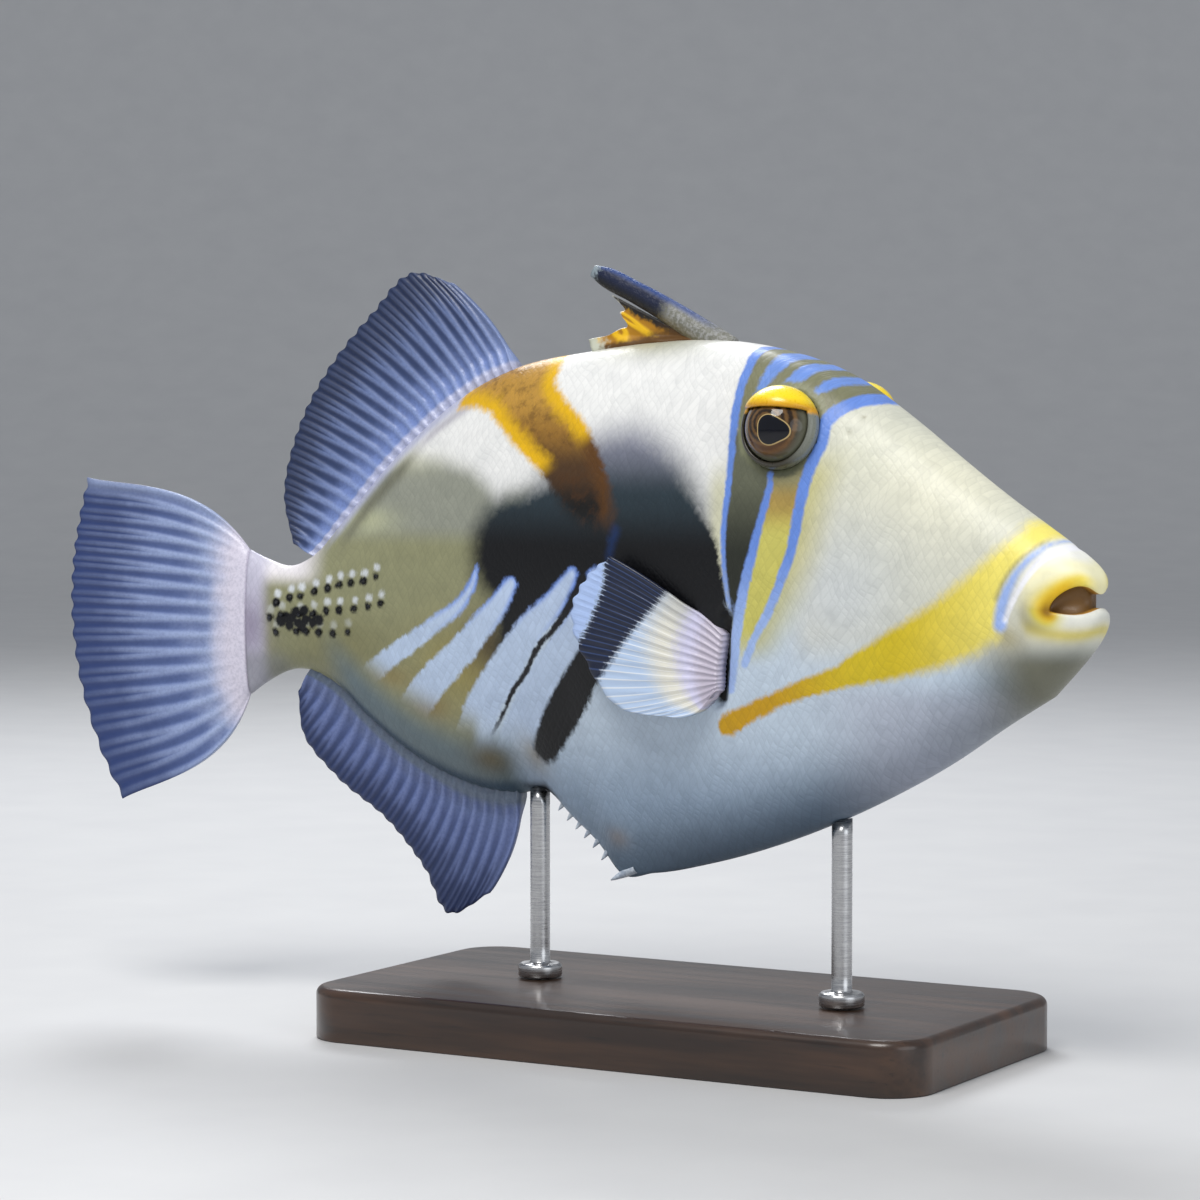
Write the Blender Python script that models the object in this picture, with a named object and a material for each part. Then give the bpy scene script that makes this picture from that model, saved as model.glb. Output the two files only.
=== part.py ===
import math

import bmesh
import bpy
import numpy as np
from mathutils import Matrix, Vector

# A life-size triggerfish on a display stand, head towards +X, in millimetres. A station is the
# distance behind the edge of the lips along the body, a side is the distance from the middle of the
# body with the fish's left positive, and a height is measured from the floor.
MM = 0.001
GAP = 0.3                  # space left between pieces that touch
BODY_END = 184.5           # station where the tail fin takes over from the tail stalk
ORIGIN_STATION = 90.0      # this station stands over the middle of the base
HEAD_TURN = 9.0            # degrees that the head is turned to the fish's right
TAIL_TURN = 8.0            # degrees that the tail is swung to the fish's right
RING_POINTS = 36           # points round each body section

# The body, each line as (station, value)
BACK_LINE = [(9.7, 98.1), (21, 105.0), (31, 111.6), (41, 118.2), (52, 124.5), (65, 129.3), (80, 131.9),
             (95, 131.6), (109, 130.0), (125, 127.0), (134, 123.2), (145, 115.7), (154, 107.7),
             (163, 97.8), (169, 91.4), (175.5, 88.2), (181, 89.6), (185, 91.4)]
BELLY_LINE = [(9.7, 68.7), (18, 63.8), (31, 55.6), (46, 47.8), (64, 40.2), (82, 34.4), (95, 31.4),
              (102.5, 31.0), (107, 36.2), (113, 41.4), (119, 46.4), (124, 45.4), (132, 45.8),
              (141, 48.4), (150, 53.0), (158, 58.9), (165, 65.0), (175, 67.7), (181, 65.0), (185, 62.2)]
HALF_WIDTH = [(9.7, 8.2), (21, 9.8), (35, 11.8), (48, 13.6), (64, 15.2), (80, 16.3), (95, 16.5),
              (110, 15.7), (125, 13.9), (140, 11.3), (155, 8.4), (166, 6.5), (176, 4.9), (185, 2.6)]
WIDEST_HEIGHT = [(9.7, 84.5), (27, 83.5), (48, 86.5), (69, 90.0), (100, 91.0), (120, 89.0), (140, 84.5),
                 (158, 79.0), (172, 78.0), (185, 77.0)]
UPPER_SHARPNESS = [(9.7, 0.90), (27, 0.82), (44, 0.70), (58, 0.56), (71, 0.68), (86, 0.92), (110, 1.0),
                   (150, 0.95), (185, 0.90)]
LOWER_SHARPNESS = [(9.7, 0.95), (38, 1.0), (64, 1.1), (84, 1.4), (96, 1.9), (103, 2.1), (112, 1.7),
                   (121, 1.2), (140, 1.05), (185, 0.9)]

# The mouth: a small arched gape that wraps round the front of the snout
CORNER_STATION, CORNER_HEIGHT = 6.2, 84.5
GAPE_FRONT = -0.6          # station of the lips' edges at the middle
GAPE_HALF_WIDTH = 6.3
UPPER_ARCH, UPPER_BEAK = 6.6, 3.8      # rise of the upper lip's edge, and its dip at the middle
LOWER_SAG, LOWER_PEAK = 1.2, 1.6       # fall of the lower lip's edge, and its rise at the middle
MOUTH_MIDDLE = (9.0, 85.6)             # station and height that the mouth's lining is drawn towards
LINING_DEPTHS = (1.9, 1.1, 0.4)
LIP_BULGE_SIDE, LIP_BULGE_UPPER, LIP_BULGE_LOWER = 0.5, 2.1, 2.2
LIP_RINGS = 6

# The eyes
EYE_STATION, EYE_SIDE, EYE_HEIGHT = 59.1, 12.4, 115.7
EYE_RADIUS, EYE_HALF_DEPTH = 6.6, 6.2
EYE_AXIS = (-0.10, 0.97, 0.20)     # towards the snout, outwards and up
RIM_INNER_ANGLE, RIM_OUTER_ANGLE = 72.0, 102.0
RIM_THICKNESS = 0.7
LID_EDGE = 2.7             # the lid's edge is this far above the eye's middle
# The rim's section: share of the way from its inner to its outer edge, and share of its thickness
RIM_SECTION = [(0.0, 0.4), (0.1, 0.8), (0.3, 1.0), (0.65, 0.9), (1.0, 0.5), (1.0, 0.0), (0.75, 0.0),
               (0.5, 0.0), (0.25, 0.0), (0.0, 0.0)]

# The stand
BASE_LENGTH, BASE_WIDTH, BASE_THICKNESS = 128.0, 66.0, 10.0
BASE_CORNER, BASE_BEVEL = 9.0, 1.6
ROD_RADIUS = 1.9
COLLAR_RADIUS, COLLAR_HEIGHT, COLLAR_EDGE = 4.2, 2.6, 0.8
FRONT_ROD_STATION, REAR_ROD_STATION = 54.0, 120.3


def ease(share):
    share = np.clip(share, 0.0, 1.0)
    return share * share * (3.0 - 2.0 * share)


def smooth_curve(points):
    # A smooth line through (position, value) points, each slope taken from its neighbours
    at, value = np.array(points, float).T
    slope = np.gradient(value, at)

    def read(where):
        where = np.clip(where, at[0], at[-1])
        left = np.clip(np.searchsorted(at, where) - 1, 0, len(at) - 2)
        span = at[left + 1] - at[left]
        share = (where - at[left]) / span
        start = (1 + 2 * share) * (1 - share) ** 2 * value[left]
        start += share * (1 - share) ** 2 * span * slope[left]
        end = share ** 2 * (3 - 2 * share) * value[left + 1]
        return start + end + share ** 2 * (share - 1) * span * slope[left + 1]

    return read


back_line = smooth_curve(BACK_LINE)
belly_line = smooth_curve(BELLY_LINE)
half_width = smooth_curve(HALF_WIDTH)
widest_height = smooth_curve(WIDEST_HEIGHT)
upper_sharpness = smooth_curve(UPPER_SHARPNESS)
lower_sharpness = smooth_curve(LOWER_SHARPNESS)


def heading(station):
    # The way the fish points at a station, in radians from +X
    head = ease((100.0 - station) / 50.0)
    tail = ease((station - 115.0) / 70.0)
    return np.radians(TAIL_TURN * tail - HEAD_TURN * head)


def spine_line():
    station = np.linspace(-10.0, 240.0, 1001)
    angle = heading(station)
    step = station[1] - station[0]
    middle = (angle[1:] + angle[:-1]) / 2
    along = np.concatenate([[0.0], np.cumsum(-np.cos(middle) * step)])
    across = np.concatenate([[0.0], np.cumsum(-np.sin(middle) * step)])
    along -= np.interp(ORIGIN_STATION, station, along)
    across -= np.interp(ORIGIN_STATION, station, across)
    return station, along, across


SPINE = spine_line()


def place(station, side, height):
    # A point of the fish in metres
    angle = heading(station)
    x = np.interp(station, SPINE[0], SPINE[1]) - np.sin(angle) * side
    y = np.interp(station, SPINE[0], SPINE[2]) + np.cos(angle) * side
    return Vector((float(x) * MM, float(y) * MM, float(height) * MM))


def section_point(station, angle):
    # A point of the body's section: angle 0 is the fish's left, 90 degrees the back
    up = math.sin(angle)
    out = math.cos(angle)
    widest = widest_height(station)
    reach = back_line(station) - widest if up > 0 else widest - belly_line(station)
    power = upper_sharpness(station) if up > 0 else lower_sharpness(station)
    side = half_width(station) * math.copysign(abs(out) ** power, out)
    return side, widest + reach * up


def gape_point(angle):
    # A point of the gape's edge as station, side and height
    out, up = math.cos(angle), math.sin(angle)
    station = GAPE_FRONT + (CORNER_STATION - GAPE_FRONT) * abs(out) ** 3
    if up > 0:
        height = CORNER_HEIGHT + UPPER_ARCH * up - UPPER_BEAK * up ** 6
    else:
        height = CORNER_HEIGHT + LOWER_SAG * up + LOWER_PEAK * up ** 6
    return station, GAPE_HALF_WIDTH * out, height


def ring_angles():
    return [2 * math.pi * k / RING_POINTS for k in range(RING_POINTS)]


def mouth_rings():
    # From the mouth's lining out over the lips to the first body section
    rings = []
    for depth in LINING_DEPTHS:
        ring = []
        for angle in ring_angles():
            station, side, height = gape_point(angle)
            inward = Vector((MOUTH_MIDDLE[0] - station, -side, (MOUTH_MIDDLE[1] - height) * 0.3)).normalized()
            ring.append((station + inward.x * depth, side + inward.y * depth, height + inward.z * depth))
        rings.append(ring)
    first = BACK_LINE[0][0]
    for step in range(LIP_RINGS):
        share = step / LIP_RINGS
        ring = []
        for angle in ring_angles():
            station, side, height = gape_point(angle)
            outer_side, outer_height = section_point(first, angle)
            up = math.sin(angle)
            bulge = LIP_BULGE_SIDE + (LIP_BULGE_UPPER if up > 0 else LIP_BULGE_LOWER) * abs(up)
            forward = bulge * math.sin(math.pi * share ** (0.74 + 0.08 * up))
            ring.append(((1 - share) * station + share * first - forward,
                         (1 - share) * side + share * outer_side,
                         (1 - share) * height + share * outer_height))
        rings.append(ring)
    return rings


def body_stations():
    first = BACK_LINE[0][0]
    return np.concatenate([np.linspace(first, 96, 22), [99.5, 102.5, 104.6], np.linspace(108, BODY_END, 20)])


def loft(name, rings, zip_start=False):
    # A closed surface through rings of points; a zipped start joins its upper half to its lower half
    bm = bmesh.new()
    loops = [[bm.verts.new(place(*point)) for point in ring] for ring in rings]
    count = len(loops[0])
    for one, two in zip(loops[:-1], loops[1:]):
        for k in range(count):
            bm.faces.new((one[k], two[k], two[(k + 1) % count], one[(k + 1) % count]))
    if zip_start:
        for k in range(count // 2):
            under = (count - k) % count
            corners = [loops[0][k], loops[0][k + 1], loops[0][count - k - 1], loops[0][under]]
            bm.faces.new(list(dict.fromkeys(corners)))
    else:
        bm.faces.new(loops[0])
    bm.faces.new(loops[-1][::-1])
    bmesh.ops.recalc_face_normals(bm, faces=bm.faces)
    return finish_mesh(name, bm)


def finish_mesh(name, bm):
    bmesh.ops.triangulate(bm, faces=bm.faces)
    mesh = bpy.data.meshes.new(name)
    bm.to_mesh(mesh)
    bm.free()
    thing = bpy.data.objects.new(name, mesh)
    bpy.context.collection.objects.link(thing)
    return thing


def whole_body():
    rings = mouth_rings()
    for station in body_stations():
        rings.append([(station, *section_point(station, angle)) for angle in ring_angles()])
    return loft("whole_body", rings, zip_start=True)


def clearance_body():
    # The body grown by the gap, which trims whatever is set on it
    rings = [[(station, *section_point(station, angle)) for angle in ring_angles()]
             for station in body_stations()]
    grown = loft("clearance_body", rings)
    bm = bmesh.new()
    bm.from_mesh(grown.data)
    bm.normal_update()
    for vertex in bm.verts:
        vertex.co += vertex.normal * GAP * MM
    bm.to_mesh(grown.data)
    bm.free()
    return grown


def drop(thing):
    bpy.data.objects.remove(thing)


def copy_of(thing, name):
    twin = bpy.data.objects.new(name, thing.data.copy())
    bpy.context.collection.objects.link(twin)
    return twin


def apply_boolean(thing, other, operation):
    # Cuts or joins other, an object or a collection, and keeps the largest closed surface
    modifier = thing.modifiers.new("shape", "BOOLEAN")
    modifier.operation = operation
    if isinstance(other, bpy.types.Collection):
        modifier.operand_type = "COLLECTION"
        modifier.collection = other
    else:
        modifier.object = other
    ready = thing.evaluated_get(bpy.context.evaluated_depsgraph_get())
    mesh = bpy.data.meshes.new_from_object(ready)
    thing.modifiers.clear()
    thing.data = mesh
    keep_largest(thing)
    return thing


def keep_largest(thing):
    bm = bmesh.new()
    bm.from_mesh(thing.data)
    bmesh.ops.remove_doubles(bm, verts=bm.verts, dist=1e-6)
    bmesh.ops.dissolve_degenerate(bm, edges=bm.edges, dist=1e-6)
    bmesh.ops.triangulate(bm, faces=bm.faces)
    islands = []
    left = set(bm.faces)
    while left:
        stack = [left.pop()]
        island = set(stack)
        while stack:
            for edge in stack.pop().edges:
                for face in edge.link_faces:
                    if face in left:
                        left.remove(face)
                        island.add(face)
                        stack.append(face)
        islands.append(island)
    islands.sort(key=lambda faces: -sum(face.calc_area() for face in faces))
    for island in islands[1:]:
        bmesh.ops.delete(bm, geom=list(island), context="FACES")
    loose = [vertex for vertex in bm.verts if not vertex.link_faces]
    bmesh.ops.delete(bm, geom=loose, context="VERTS")
    bm.to_mesh(thing.data)
    bm.free()


def prism(name, outline, half):
    # A block with an outline in stations and heights, reaching the same way to both sides
    bm = bmesh.new()
    left = [bm.verts.new(place(station, half, height)) for station, height in outline]
    right = [bm.verts.new(place(station, -half, height)) for station, height in outline]
    bm.faces.new(left)
    bm.faces.new(right[::-1])
    for k in range(len(outline)):
        after = (k + 1) % len(outline)
        bm.faces.new((left[k], right[k], right[after], left[after]))
    bmesh.ops.recalc_face_normals(bm, faces=bm.faces)
    return finish_mesh(name, bm)


def cut_out(source, name, outline):
    # The part of the body inside an outline
    piece = copy_of(source, name)
    block = prism("block", outline, 60.0)
    apply_boolean(piece, block, "INTERSECT")
    drop(block)
    return piece


# The lines where the body is parted, as (station, height) pairs
HEAD_CUT = [(64.0, 20.0), (67.0, 84.0), (70.3, 104.0), (71.6, 140.0)]
STALK_CUT = [(151.0, 20.0), (151.0, 140.0)]
FLAP_CUT = [(80.0, 36.6), (119.6, 47.6)]


def shifted(line, amount):
    return [(station + amount, height) for station, height in line]


def part_the_body(body):
    front, rear = shifted(HEAD_CUT, -GAP / 2), shifted(HEAD_CUT, GAP / 2)
    head = cut_out(body, "head", [(-9.0, 20.0), *front, (-9.0, 140.0)])
    stalk_front, stalk_rear = shifted(STALK_CUT, -GAP / 2), shifted(STALK_CUT, GAP / 2)
    torso = cut_out(body, "torso", [*rear, stalk_front[1], stalk_front[0]])
    stalk = cut_out(body, "tail_stalk", [stalk_rear[0], (190.0, 20.0), (190.0, 140.0), stalk_rear[1]])
    (start, low), (end, high) = FLAP_CUT
    flap = cut_out(body, "pelvic_flap", [(start - 8.0, 20.0), (end, 20.0), (end, high - GAP),
                                         (start, low - GAP), (start - 8.0, low - GAP)])
    block = prism("block", [(start - 10.0, 20.0), (end + GAP, 20.0), (end + GAP, high), (start, low),
                            (start - 10.0, low)], 60.0)
    apply_boolean(torso, block, "DIFFERENCE")
    drop(block)
    return head, torso, stalk, flap


def eye_frame(side):
    # The eye's middle and its axis for the left (1) or right (-1) side
    centre = place(EYE_STATION, side * EYE_SIDE, EYE_HEIGHT)
    tip = place(EYE_STATION + EYE_AXIS[0], side * (EYE_SIDE + EYE_AXIS[1]), EYE_HEIGHT + EYE_AXIS[2])
    return centre, (tip - centre).normalized()


def eye_ball(name, centre, axis, grown=0.0, segments=20, rings=12):
    # A ball flattened along the eye's axis
    bm = bmesh.new()
    turn = axis.to_track_quat("Z", "Y").to_matrix().to_4x4()
    across, deep = (EYE_RADIUS + grown) * MM, (EYE_HALF_DEPTH + grown) * MM
    flatten = Matrix.Diagonal((across, across, deep, 1.0))
    bmesh.ops.create_uvsphere(bm, u_segments=segments, v_segments=rings, radius=1.0,
                              matrix=Matrix.Translation(centre) @ turn @ flatten)
    return finish_mesh(name, bm)


def eye_rim(name, side, segments=24):
    # The ring of skin round the eye, thicker over it than under it
    centre, axis = eye_frame(side)
    upright = (Vector((0, 0, 1)) - axis * axis.z).normalized()
    level = axis.cross(upright)
    inner, outer = math.radians(RIM_INNER_ANGLE), math.radians(RIM_OUTER_ANGLE)
    bm = bmesh.new()
    loops = []
    for k in range(segments):
        turn = 2 * math.pi * k / segments
        out = level * math.cos(turn) + upright * math.sin(turn)
        brow = max(math.sin(turn), 0.0)
        edge = min(inner, math.asin(min(LID_EDGE / (EYE_RADIUS * max(brow, 0.1)), 1.0)))
        thick = RIM_THICKNESS * (1.0 + 0.45 * brow)
        loop = []
        for share, depth in RIM_SECTION:
            angle = edge + (outer - edge) * share
            grown = GAP + depth * thick
            spot = axis * (EYE_HALF_DEPTH + grown) * math.cos(angle)
            spot += out * (EYE_RADIUS + grown) * math.sin(angle)
            loop.append(bm.verts.new(centre + spot * MM))
        loops.append(loop)
    count = len(loops[0])
    for k in range(segments):
        one, two = loops[k], loops[(k + 1) % segments]
        for j in range(count):
            bm.faces.new((one[j], two[j], two[(j + 1) % count], one[(j + 1) % count]))
    bmesh.ops.recalc_face_normals(bm, faces=bm.faces)
    return finish_mesh(name, bm)


# The fins, each with its roots and its margin as lines of (share, station, height), share running
# from the first ray to the last
DORSAL_MARGIN = [(0.0, 139.5, 143.4), (0.12, 148.3, 145.7), (0.3, 157.8, 137.8), (0.5, 168.2, 126.0),
                 (0.7, 174.8, 113.4), (0.87, 177.2, 101.6), (1.0, 175.2, 92.6)]
DORSAL_ROOTS = (125.4, 170.8)
ANAL_MARGIN = [(0.0, 131.5, 25.6), (0.13, 140.4, 20.8), (0.3, 146.4, 29.6), (0.5, 154.6, 38.6),
               (0.72, 166.0, 46.8), (0.88, 173.2, 55.0), (1.0, 174.2, 63.2)]
ANAL_ROOTS = (124.4, 171.2)
TAIL_MARGIN = [(0.0, 219.9, 105.4), (0.15, 222.0, 97.0), (0.35, 223.6, 86.6), (0.55, 223.6, 74.5),
               (0.75, 221.0, 60.5), (0.9, 216.4, 48.2), (1.0, 212.3, 40.7)]
SPINY_MARGIN = [(0.0, 104.4, 140.6), (0.3, 102.8, 137.4), (0.55, 101.6, 134.9), (0.8, 104.8, 133.6),
                (1.0, 109.4, 132.3)]
PECTORAL_ROOTS = [(0.0, 72.3, 80.2), (0.5, 73.9, 72.6), (1.0, 73.9, 65.5)]
PECTORAL_MARGIN = [(0.0, 93.5, 92.4), (0.2, 98.6, 88.2), (0.4, 101.6, 82.0), (0.6, 99.4, 74.0),
                   (0.8, 92.0, 64.6), (1.0, 79.3, 63.0)]
SPINY_ROOTS = (86.5, 108.0)
ROOT_LIFT = 0.6            # the roots' line stands this far off the body's line
ROW_SPREAD = 1.25          # the rows lie closer together near the root
RAY_TAPER = 0.55           # share of a ray's height that it loses by its tip
# root, ray and web are half thicknesses, root_depth is how far the fleshy root reaches, sunk how far
# the foot goes into the body, and notch how much shorter the web is than the rays
DORSAL_FIN = {"rays": 24, "rows": 5, "root": 1.5, "root_depth": 4.5, "ray": 0.75, "web": 0.28,
              "sunk": 3.0, "notch": 0.02, "bow": lambda share: 1.2 * (1 - share)}
ANAL_FIN = {"rays": 21, "rows": 5, "root": 1.5, "root_depth": 4.5, "ray": 0.75, "web": 0.28,
            "sunk": 3.0, "notch": 0.02, "bow": lambda share: -1.6 * (1 - share)}
PECTORAL_FIN = {"rays": 13, "rows": 6, "root": 1.3, "root_depth": 5.0, "ray": 0.55, "web": 0.28,
                "sunk": 3.0, "notch": 0.02, "bow": lambda share: 1.2 * (0.5 - share)}
SPINY_WEB = {"rays": 4, "rows": 5, "root": 1.1, "root_depth": 2.5, "ray": 0.6, "web": 0.35,
             "sunk": 2.5, "notch": 0.14, "bow": lambda share: 0.0}
TAIL_FIN = {"rays": 17, "rows": 7, "root_depth": 14.0, "ray": 0.83, "web": 0.28, "notch": 0.015,
            "edge_bow": 5.6, "swing": 3.0}
PECTORAL_TUCK, PECTORAL_RISE, PECTORAL_SPREAD = 1.2, 2.6, 0.10


def margin_curve(points):
    share = [point[0] for point in points]
    station = smooth_curve(list(zip(share, [point[1] for point in points])))
    height = smooth_curve(list(zip(share, [point[2] for point in points])))
    return lambda where: (float(station(where)), float(height(where)))


def line_of_roots(ends, edge, lift=0.0):
    # Roots spread along the back or belly line between two stations
    def read(share):
        station = ends[0] + (ends[1] - ends[0]) * share
        return station, float(edge(station)) + lift
    return read


def vane(name, roots, margin, fin, sway):
    # A fin: a thin sheet with its rays raised on both faces and its foot sunk into the body. Each ray
    # bows by the fin's bow, more at the first ray, and the web's edge lies a notch short of the rays'
    bm = bmesh.new()
    columns = 2 * fin["rays"] - 1
    rows = fin["rows"]
    grid = []
    for j in range(columns):
        share = j / (columns - 1)
        on_ray = j % 2 == 0
        root, tip = np.array(roots(share)), np.array(margin(share))
        reach = tip - root
        length = float(np.hypot(*reach))
        across = np.array([-reach[1], reach[0]]) / length
        if not on_ray:
            reach = reach * (1.0 - fin["notch"])
        column = []
        for k in range(-1, rows + 1):
            along = -fin["sunk"] / length if k < 0 else (k / rows) ** ROW_SPREAD
            spot = root + reach * along + across * fin["bow"](share) * 4 * along * (1 - along)
            fade = 1.0 - ease(along * length / fin["root_depth"])
            half = fin["web"] + (fin["ray"] - fin["web"]) * (1.0 - RAY_TAPER * max(along, 0.0)) * on_ray
            half += (fin["root"] - fin["web"]) * fade
            middle = sway(share, along * length)
            column.append([bm.verts.new(place(spot[0], middle + half * way, spot[1])) for way in (1, -1)])
        grid.append(column)
    for j in range(columns - 1):
        for k in range(rows + 1):
            for way in (0, 1):
                one, two = grid[j][k][way], grid[j + 1][k][way]
                three, four = grid[j + 1][k + 1][way], grid[j][k + 1][way]
                bm.faces.new((one, two, three))
                bm.faces.new((one, three, four))
    for j in range(columns - 1):
        for k in (0, rows + 1):
            bm.faces.new((grid[j][k][0], grid[j + 1][k][0], grid[j + 1][k][1], grid[j][k][1]))
    for k in range(rows + 1):
        for j in (0, columns - 1):
            bm.faces.new((grid[j][k][0], grid[j][k + 1][0], grid[j][k + 1][1], grid[j][k][1]))
    bmesh.ops.recalc_face_normals(bm, faces=bm.faces)
    return finish_mesh(name, bm)


def straight(share, distance):
    return 0.0


def pectoral_sway(side):
    # The paddle leaves the body's side and stands away from it towards its end
    def read(share, distance):
        out = float(half_width(PECTORAL_ROOTS[1][1])) - PECTORAL_TUCK
        return side * (out + PECTORAL_RISE * ease(distance / 8.0) + PECTORAL_SPREAD * max(distance, 0.0))
    return read


def fins():
    made = [vane("soft_dorsal_fin", line_of_roots(DORSAL_ROOTS, back_line, ROOT_LIFT),
                 margin_curve(DORSAL_MARGIN), DORSAL_FIN, straight),
            vane("anal_fin", line_of_roots(ANAL_ROOTS, belly_line, -ROOT_LIFT),
                 margin_curve(ANAL_MARGIN), ANAL_FIN, straight),
            vane("spiny_dorsal_web", line_of_roots(SPINY_ROOTS, back_line),
                 margin_curve(SPINY_MARGIN), SPINY_WEB, straight)]
    for side, word in ((1, "left"), (-1, "right")):
        made.append(vane("pectoral_fin_" + word, margin_curve(PECTORAL_ROOTS),
                         margin_curve(PECTORAL_MARGIN), PECTORAL_FIN, pectoral_sway(side)))
    return made


def tail_fin():
    # Its foot has the section of the end of the tail stalk
    foot = BODY_END + GAP
    bm = bmesh.new()
    margin = margin_curve(TAIL_MARGIN)
    columns = 2 * TAIL_FIN["rays"] - 1
    rows = TAIL_FIN["rows"]
    grid = []
    for j in range(columns):
        share = j / (columns - 1)
        on_ray = j % 2 == 0
        side, height = section_point(BODY_END, math.pi * (0.5 - share))
        tip = np.array(margin(share))
        root = np.array([foot, height])
        reach = (tip - root) * (1.0 if on_ray else 1.0 - TAIL_FIN["notch"])
        length = float(np.hypot(*reach))
        across = np.array([-reach[1], reach[0]]) / length
        bow = TAIL_FIN["edge_bow"] * (2 * share - 1) * abs(2 * share - 1) ** 1.5
        column = []
        for k in range(rows + 1):
            along = (k / rows) ** 1.15
            spot = root + reach * along - across * bow * 4 * along * (1 - along) ** 1.4
            fade = 1.0 - ease(along * length / TAIL_FIN["root_depth"])
            ridge = (TAIL_FIN["ray"] - TAIL_FIN["web"]) * (1.0 - RAY_TAPER * along) * on_ray
            half = TAIL_FIN["web"] + ridge * (1 - fade) + max(abs(side) - TAIL_FIN["web"], 0.0) * fade
            sway = -TAIL_FIN["swing"] * along * along
            column.append([bm.verts.new(place(spot[0], sway + half * way, spot[1])) for way in (1, -1)])
        grid.append(column)
    for j in range(columns - 1):
        for k in range(rows):
            for way in (0, 1):
                one, two = grid[j][k][way], grid[j + 1][k][way]
                three, four = grid[j + 1][k + 1][way], grid[j][k + 1][way]
                bm.faces.new((one, two, three))
                bm.faces.new((one, three, four))
        for k in (0, rows):
            bm.faces.new((grid[j][k][0], grid[j + 1][k][0], grid[j + 1][k][1], grid[j][k][1]))
    for k in range(rows):
        for j in (0, columns - 1):
            bm.faces.new((grid[j][k][0], grid[j][k + 1][0], grid[j][k + 1][1], grid[j][k][1]))
    bmesh.ops.recalc_face_normals(bm, faces=bm.faces)
    return finish_mesh("tail_fin", bm)


# The locking first spine of the back, as (share, station, height) along its middle
SPINE_FOOT, SPINE_TIP = (79.0, 129.6), (108.4, 145.2)
SPINE_DEEP = [(0.0, 3.0), (0.3, 2.5), (0.7, 2.1), (0.93, 1.8), (1.0, 1.2)]
SPINE_WIDE = [(0.0, 2.0), (0.3, 1.8), (0.7, 1.4), (0.93, 1.1), (1.0, 0.7)]


def locking_spine(name="locking_spine", grown=0.0):
    deep, wide = smooth_curve(SPINE_DEEP), smooth_curve(SPINE_WIDE)
    foot, tip = np.array(SPINE_FOOT), np.array(SPINE_TIP)
    reach = tip - foot
    across = np.array([-reach[1], reach[0]]) / float(np.hypot(*reach))
    rings = []
    for share in (0.0, 0.12, 0.25, 0.4, 0.55, 0.7, 0.84, 0.94, 1.0):
        middle = foot + reach * share + across * 0.7 * math.sin(math.pi * share)
        ring = []
        for k in range(12):
            angle = 2 * math.pi * k / 12
            spot = middle + across * (float(deep(share)) + grown) * math.sin(angle)
            ring.append((spot[0], (float(wide(share)) + grown) * math.cos(angle), spot[1]))
        rings.append(ring)
    return loft(name, rings)


# Rows of thorns on the tail stalk, as (first station, last station, first height, last height, count)
THORN_ROWS = [(154.5, 179.0, 86.4, 82.0, 9), (153.5, 180.4, 81.4, 78.8, 10), (160.5, 179.4, 75.6, 75.4, 7)]
THORN_RADIUS, THORN_HEIGHT = 0.75, 1.3


def body_side(station, height):
    # How far the body's side is from the middle at a height
    widest = float(widest_height(station))
    above = height > widest
    reach = float(back_line(station)) - widest if above else widest - float(belly_line(station))
    power = float(upper_sharpness(station) if above else lower_sharpness(station))
    share = min(abs(height - widest) / reach, 0.999)
    return float(half_width(station)) * (1 - share * share) ** (power / 2)


def cone(name, foot, tip, radius, sides, tip_radius=0.12):
    bm = bmesh.new()
    way = tip - foot
    turn = way.to_track_quat("Z", "Y").to_matrix().to_4x4()
    bmesh.ops.create_cone(bm, cap_ends=True, segments=sides, radius1=radius * MM, radius2=tip_radius * MM,
                          depth=way.length, matrix=Matrix.Translation((foot + tip) / 2) @ turn)
    return finish_mesh(name, bm)


def join_collection(thing, pieces, name):
    group = bpy.data.collections.new(name)
    bpy.context.scene.collection.children.link(group)
    for piece in pieces:
        bpy.context.collection.objects.unlink(piece)
        group.objects.link(piece)
    apply_boolean(thing, group, "UNION")
    for piece in pieces:
        drop(piece)
    bpy.data.collections.remove(group)


def add_thorns(stalk):
    thorns = []
    for first, last, high, low, count in THORN_ROWS:
        for k in range(count):
            share = k / (count - 1)
            station = first + (last - first) * share
            height = high + (low - high) * share
            size = 0.8 + 0.2 * math.sin(math.pi * (0.2 + 0.8 * share))
            for side in (1, -1):
                surface = body_side(station, height)
                foot = place(station + 0.2, side * (surface - 0.7), height)
                tip = place(station - 0.7, side * (surface + THORN_HEIGHT * size), height)
                thorns.append(cone("thorn", foot, tip, THORN_RADIUS * size, 5))
    join_collection(stalk, thorns, "thorns")


# The pelvic spine and the row of prickles along the flap's hind edge
PELVIC_SPINE = ((99.0, 32.6), (104.6, 29.8), 1.3)
PRICKLES = 6


def add_prickles(flap):
    (station, height), (tip_station, tip_height), radius = PELVIC_SPINE
    pieces = [cone("pelvic_spine", place(station, 0, height), place(tip_station, 0, tip_height), radius, 8)]
    for k in range(PRICKLES):
        station = 105.4 + 1.9 * k
        height = float(belly_line(station)) + 1.3
        pieces.append(cone("prickle", place(station - 0.4, 0, height),
                           place(station + 1.3, 0, height - 2.1), 0.75, 6))
    join_collection(flap, pieces, "prickles")


# The gill opening, a slit in front of the pectoral fin, and the two nostrils before each eye
GILL_TOP, GILL_BOTTOM = (69.4, 84.0), (71.9, 66.9)
GILL_HALF_WIDTH, GILL_DEPTH = 0.55, 2.2
NOSTRILS = [(45.1, 115.0), (42.4, 117.6)]
NOSTRIL_RADIUS, NOSTRIL_DEPTH = 0.6, 1.4


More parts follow.
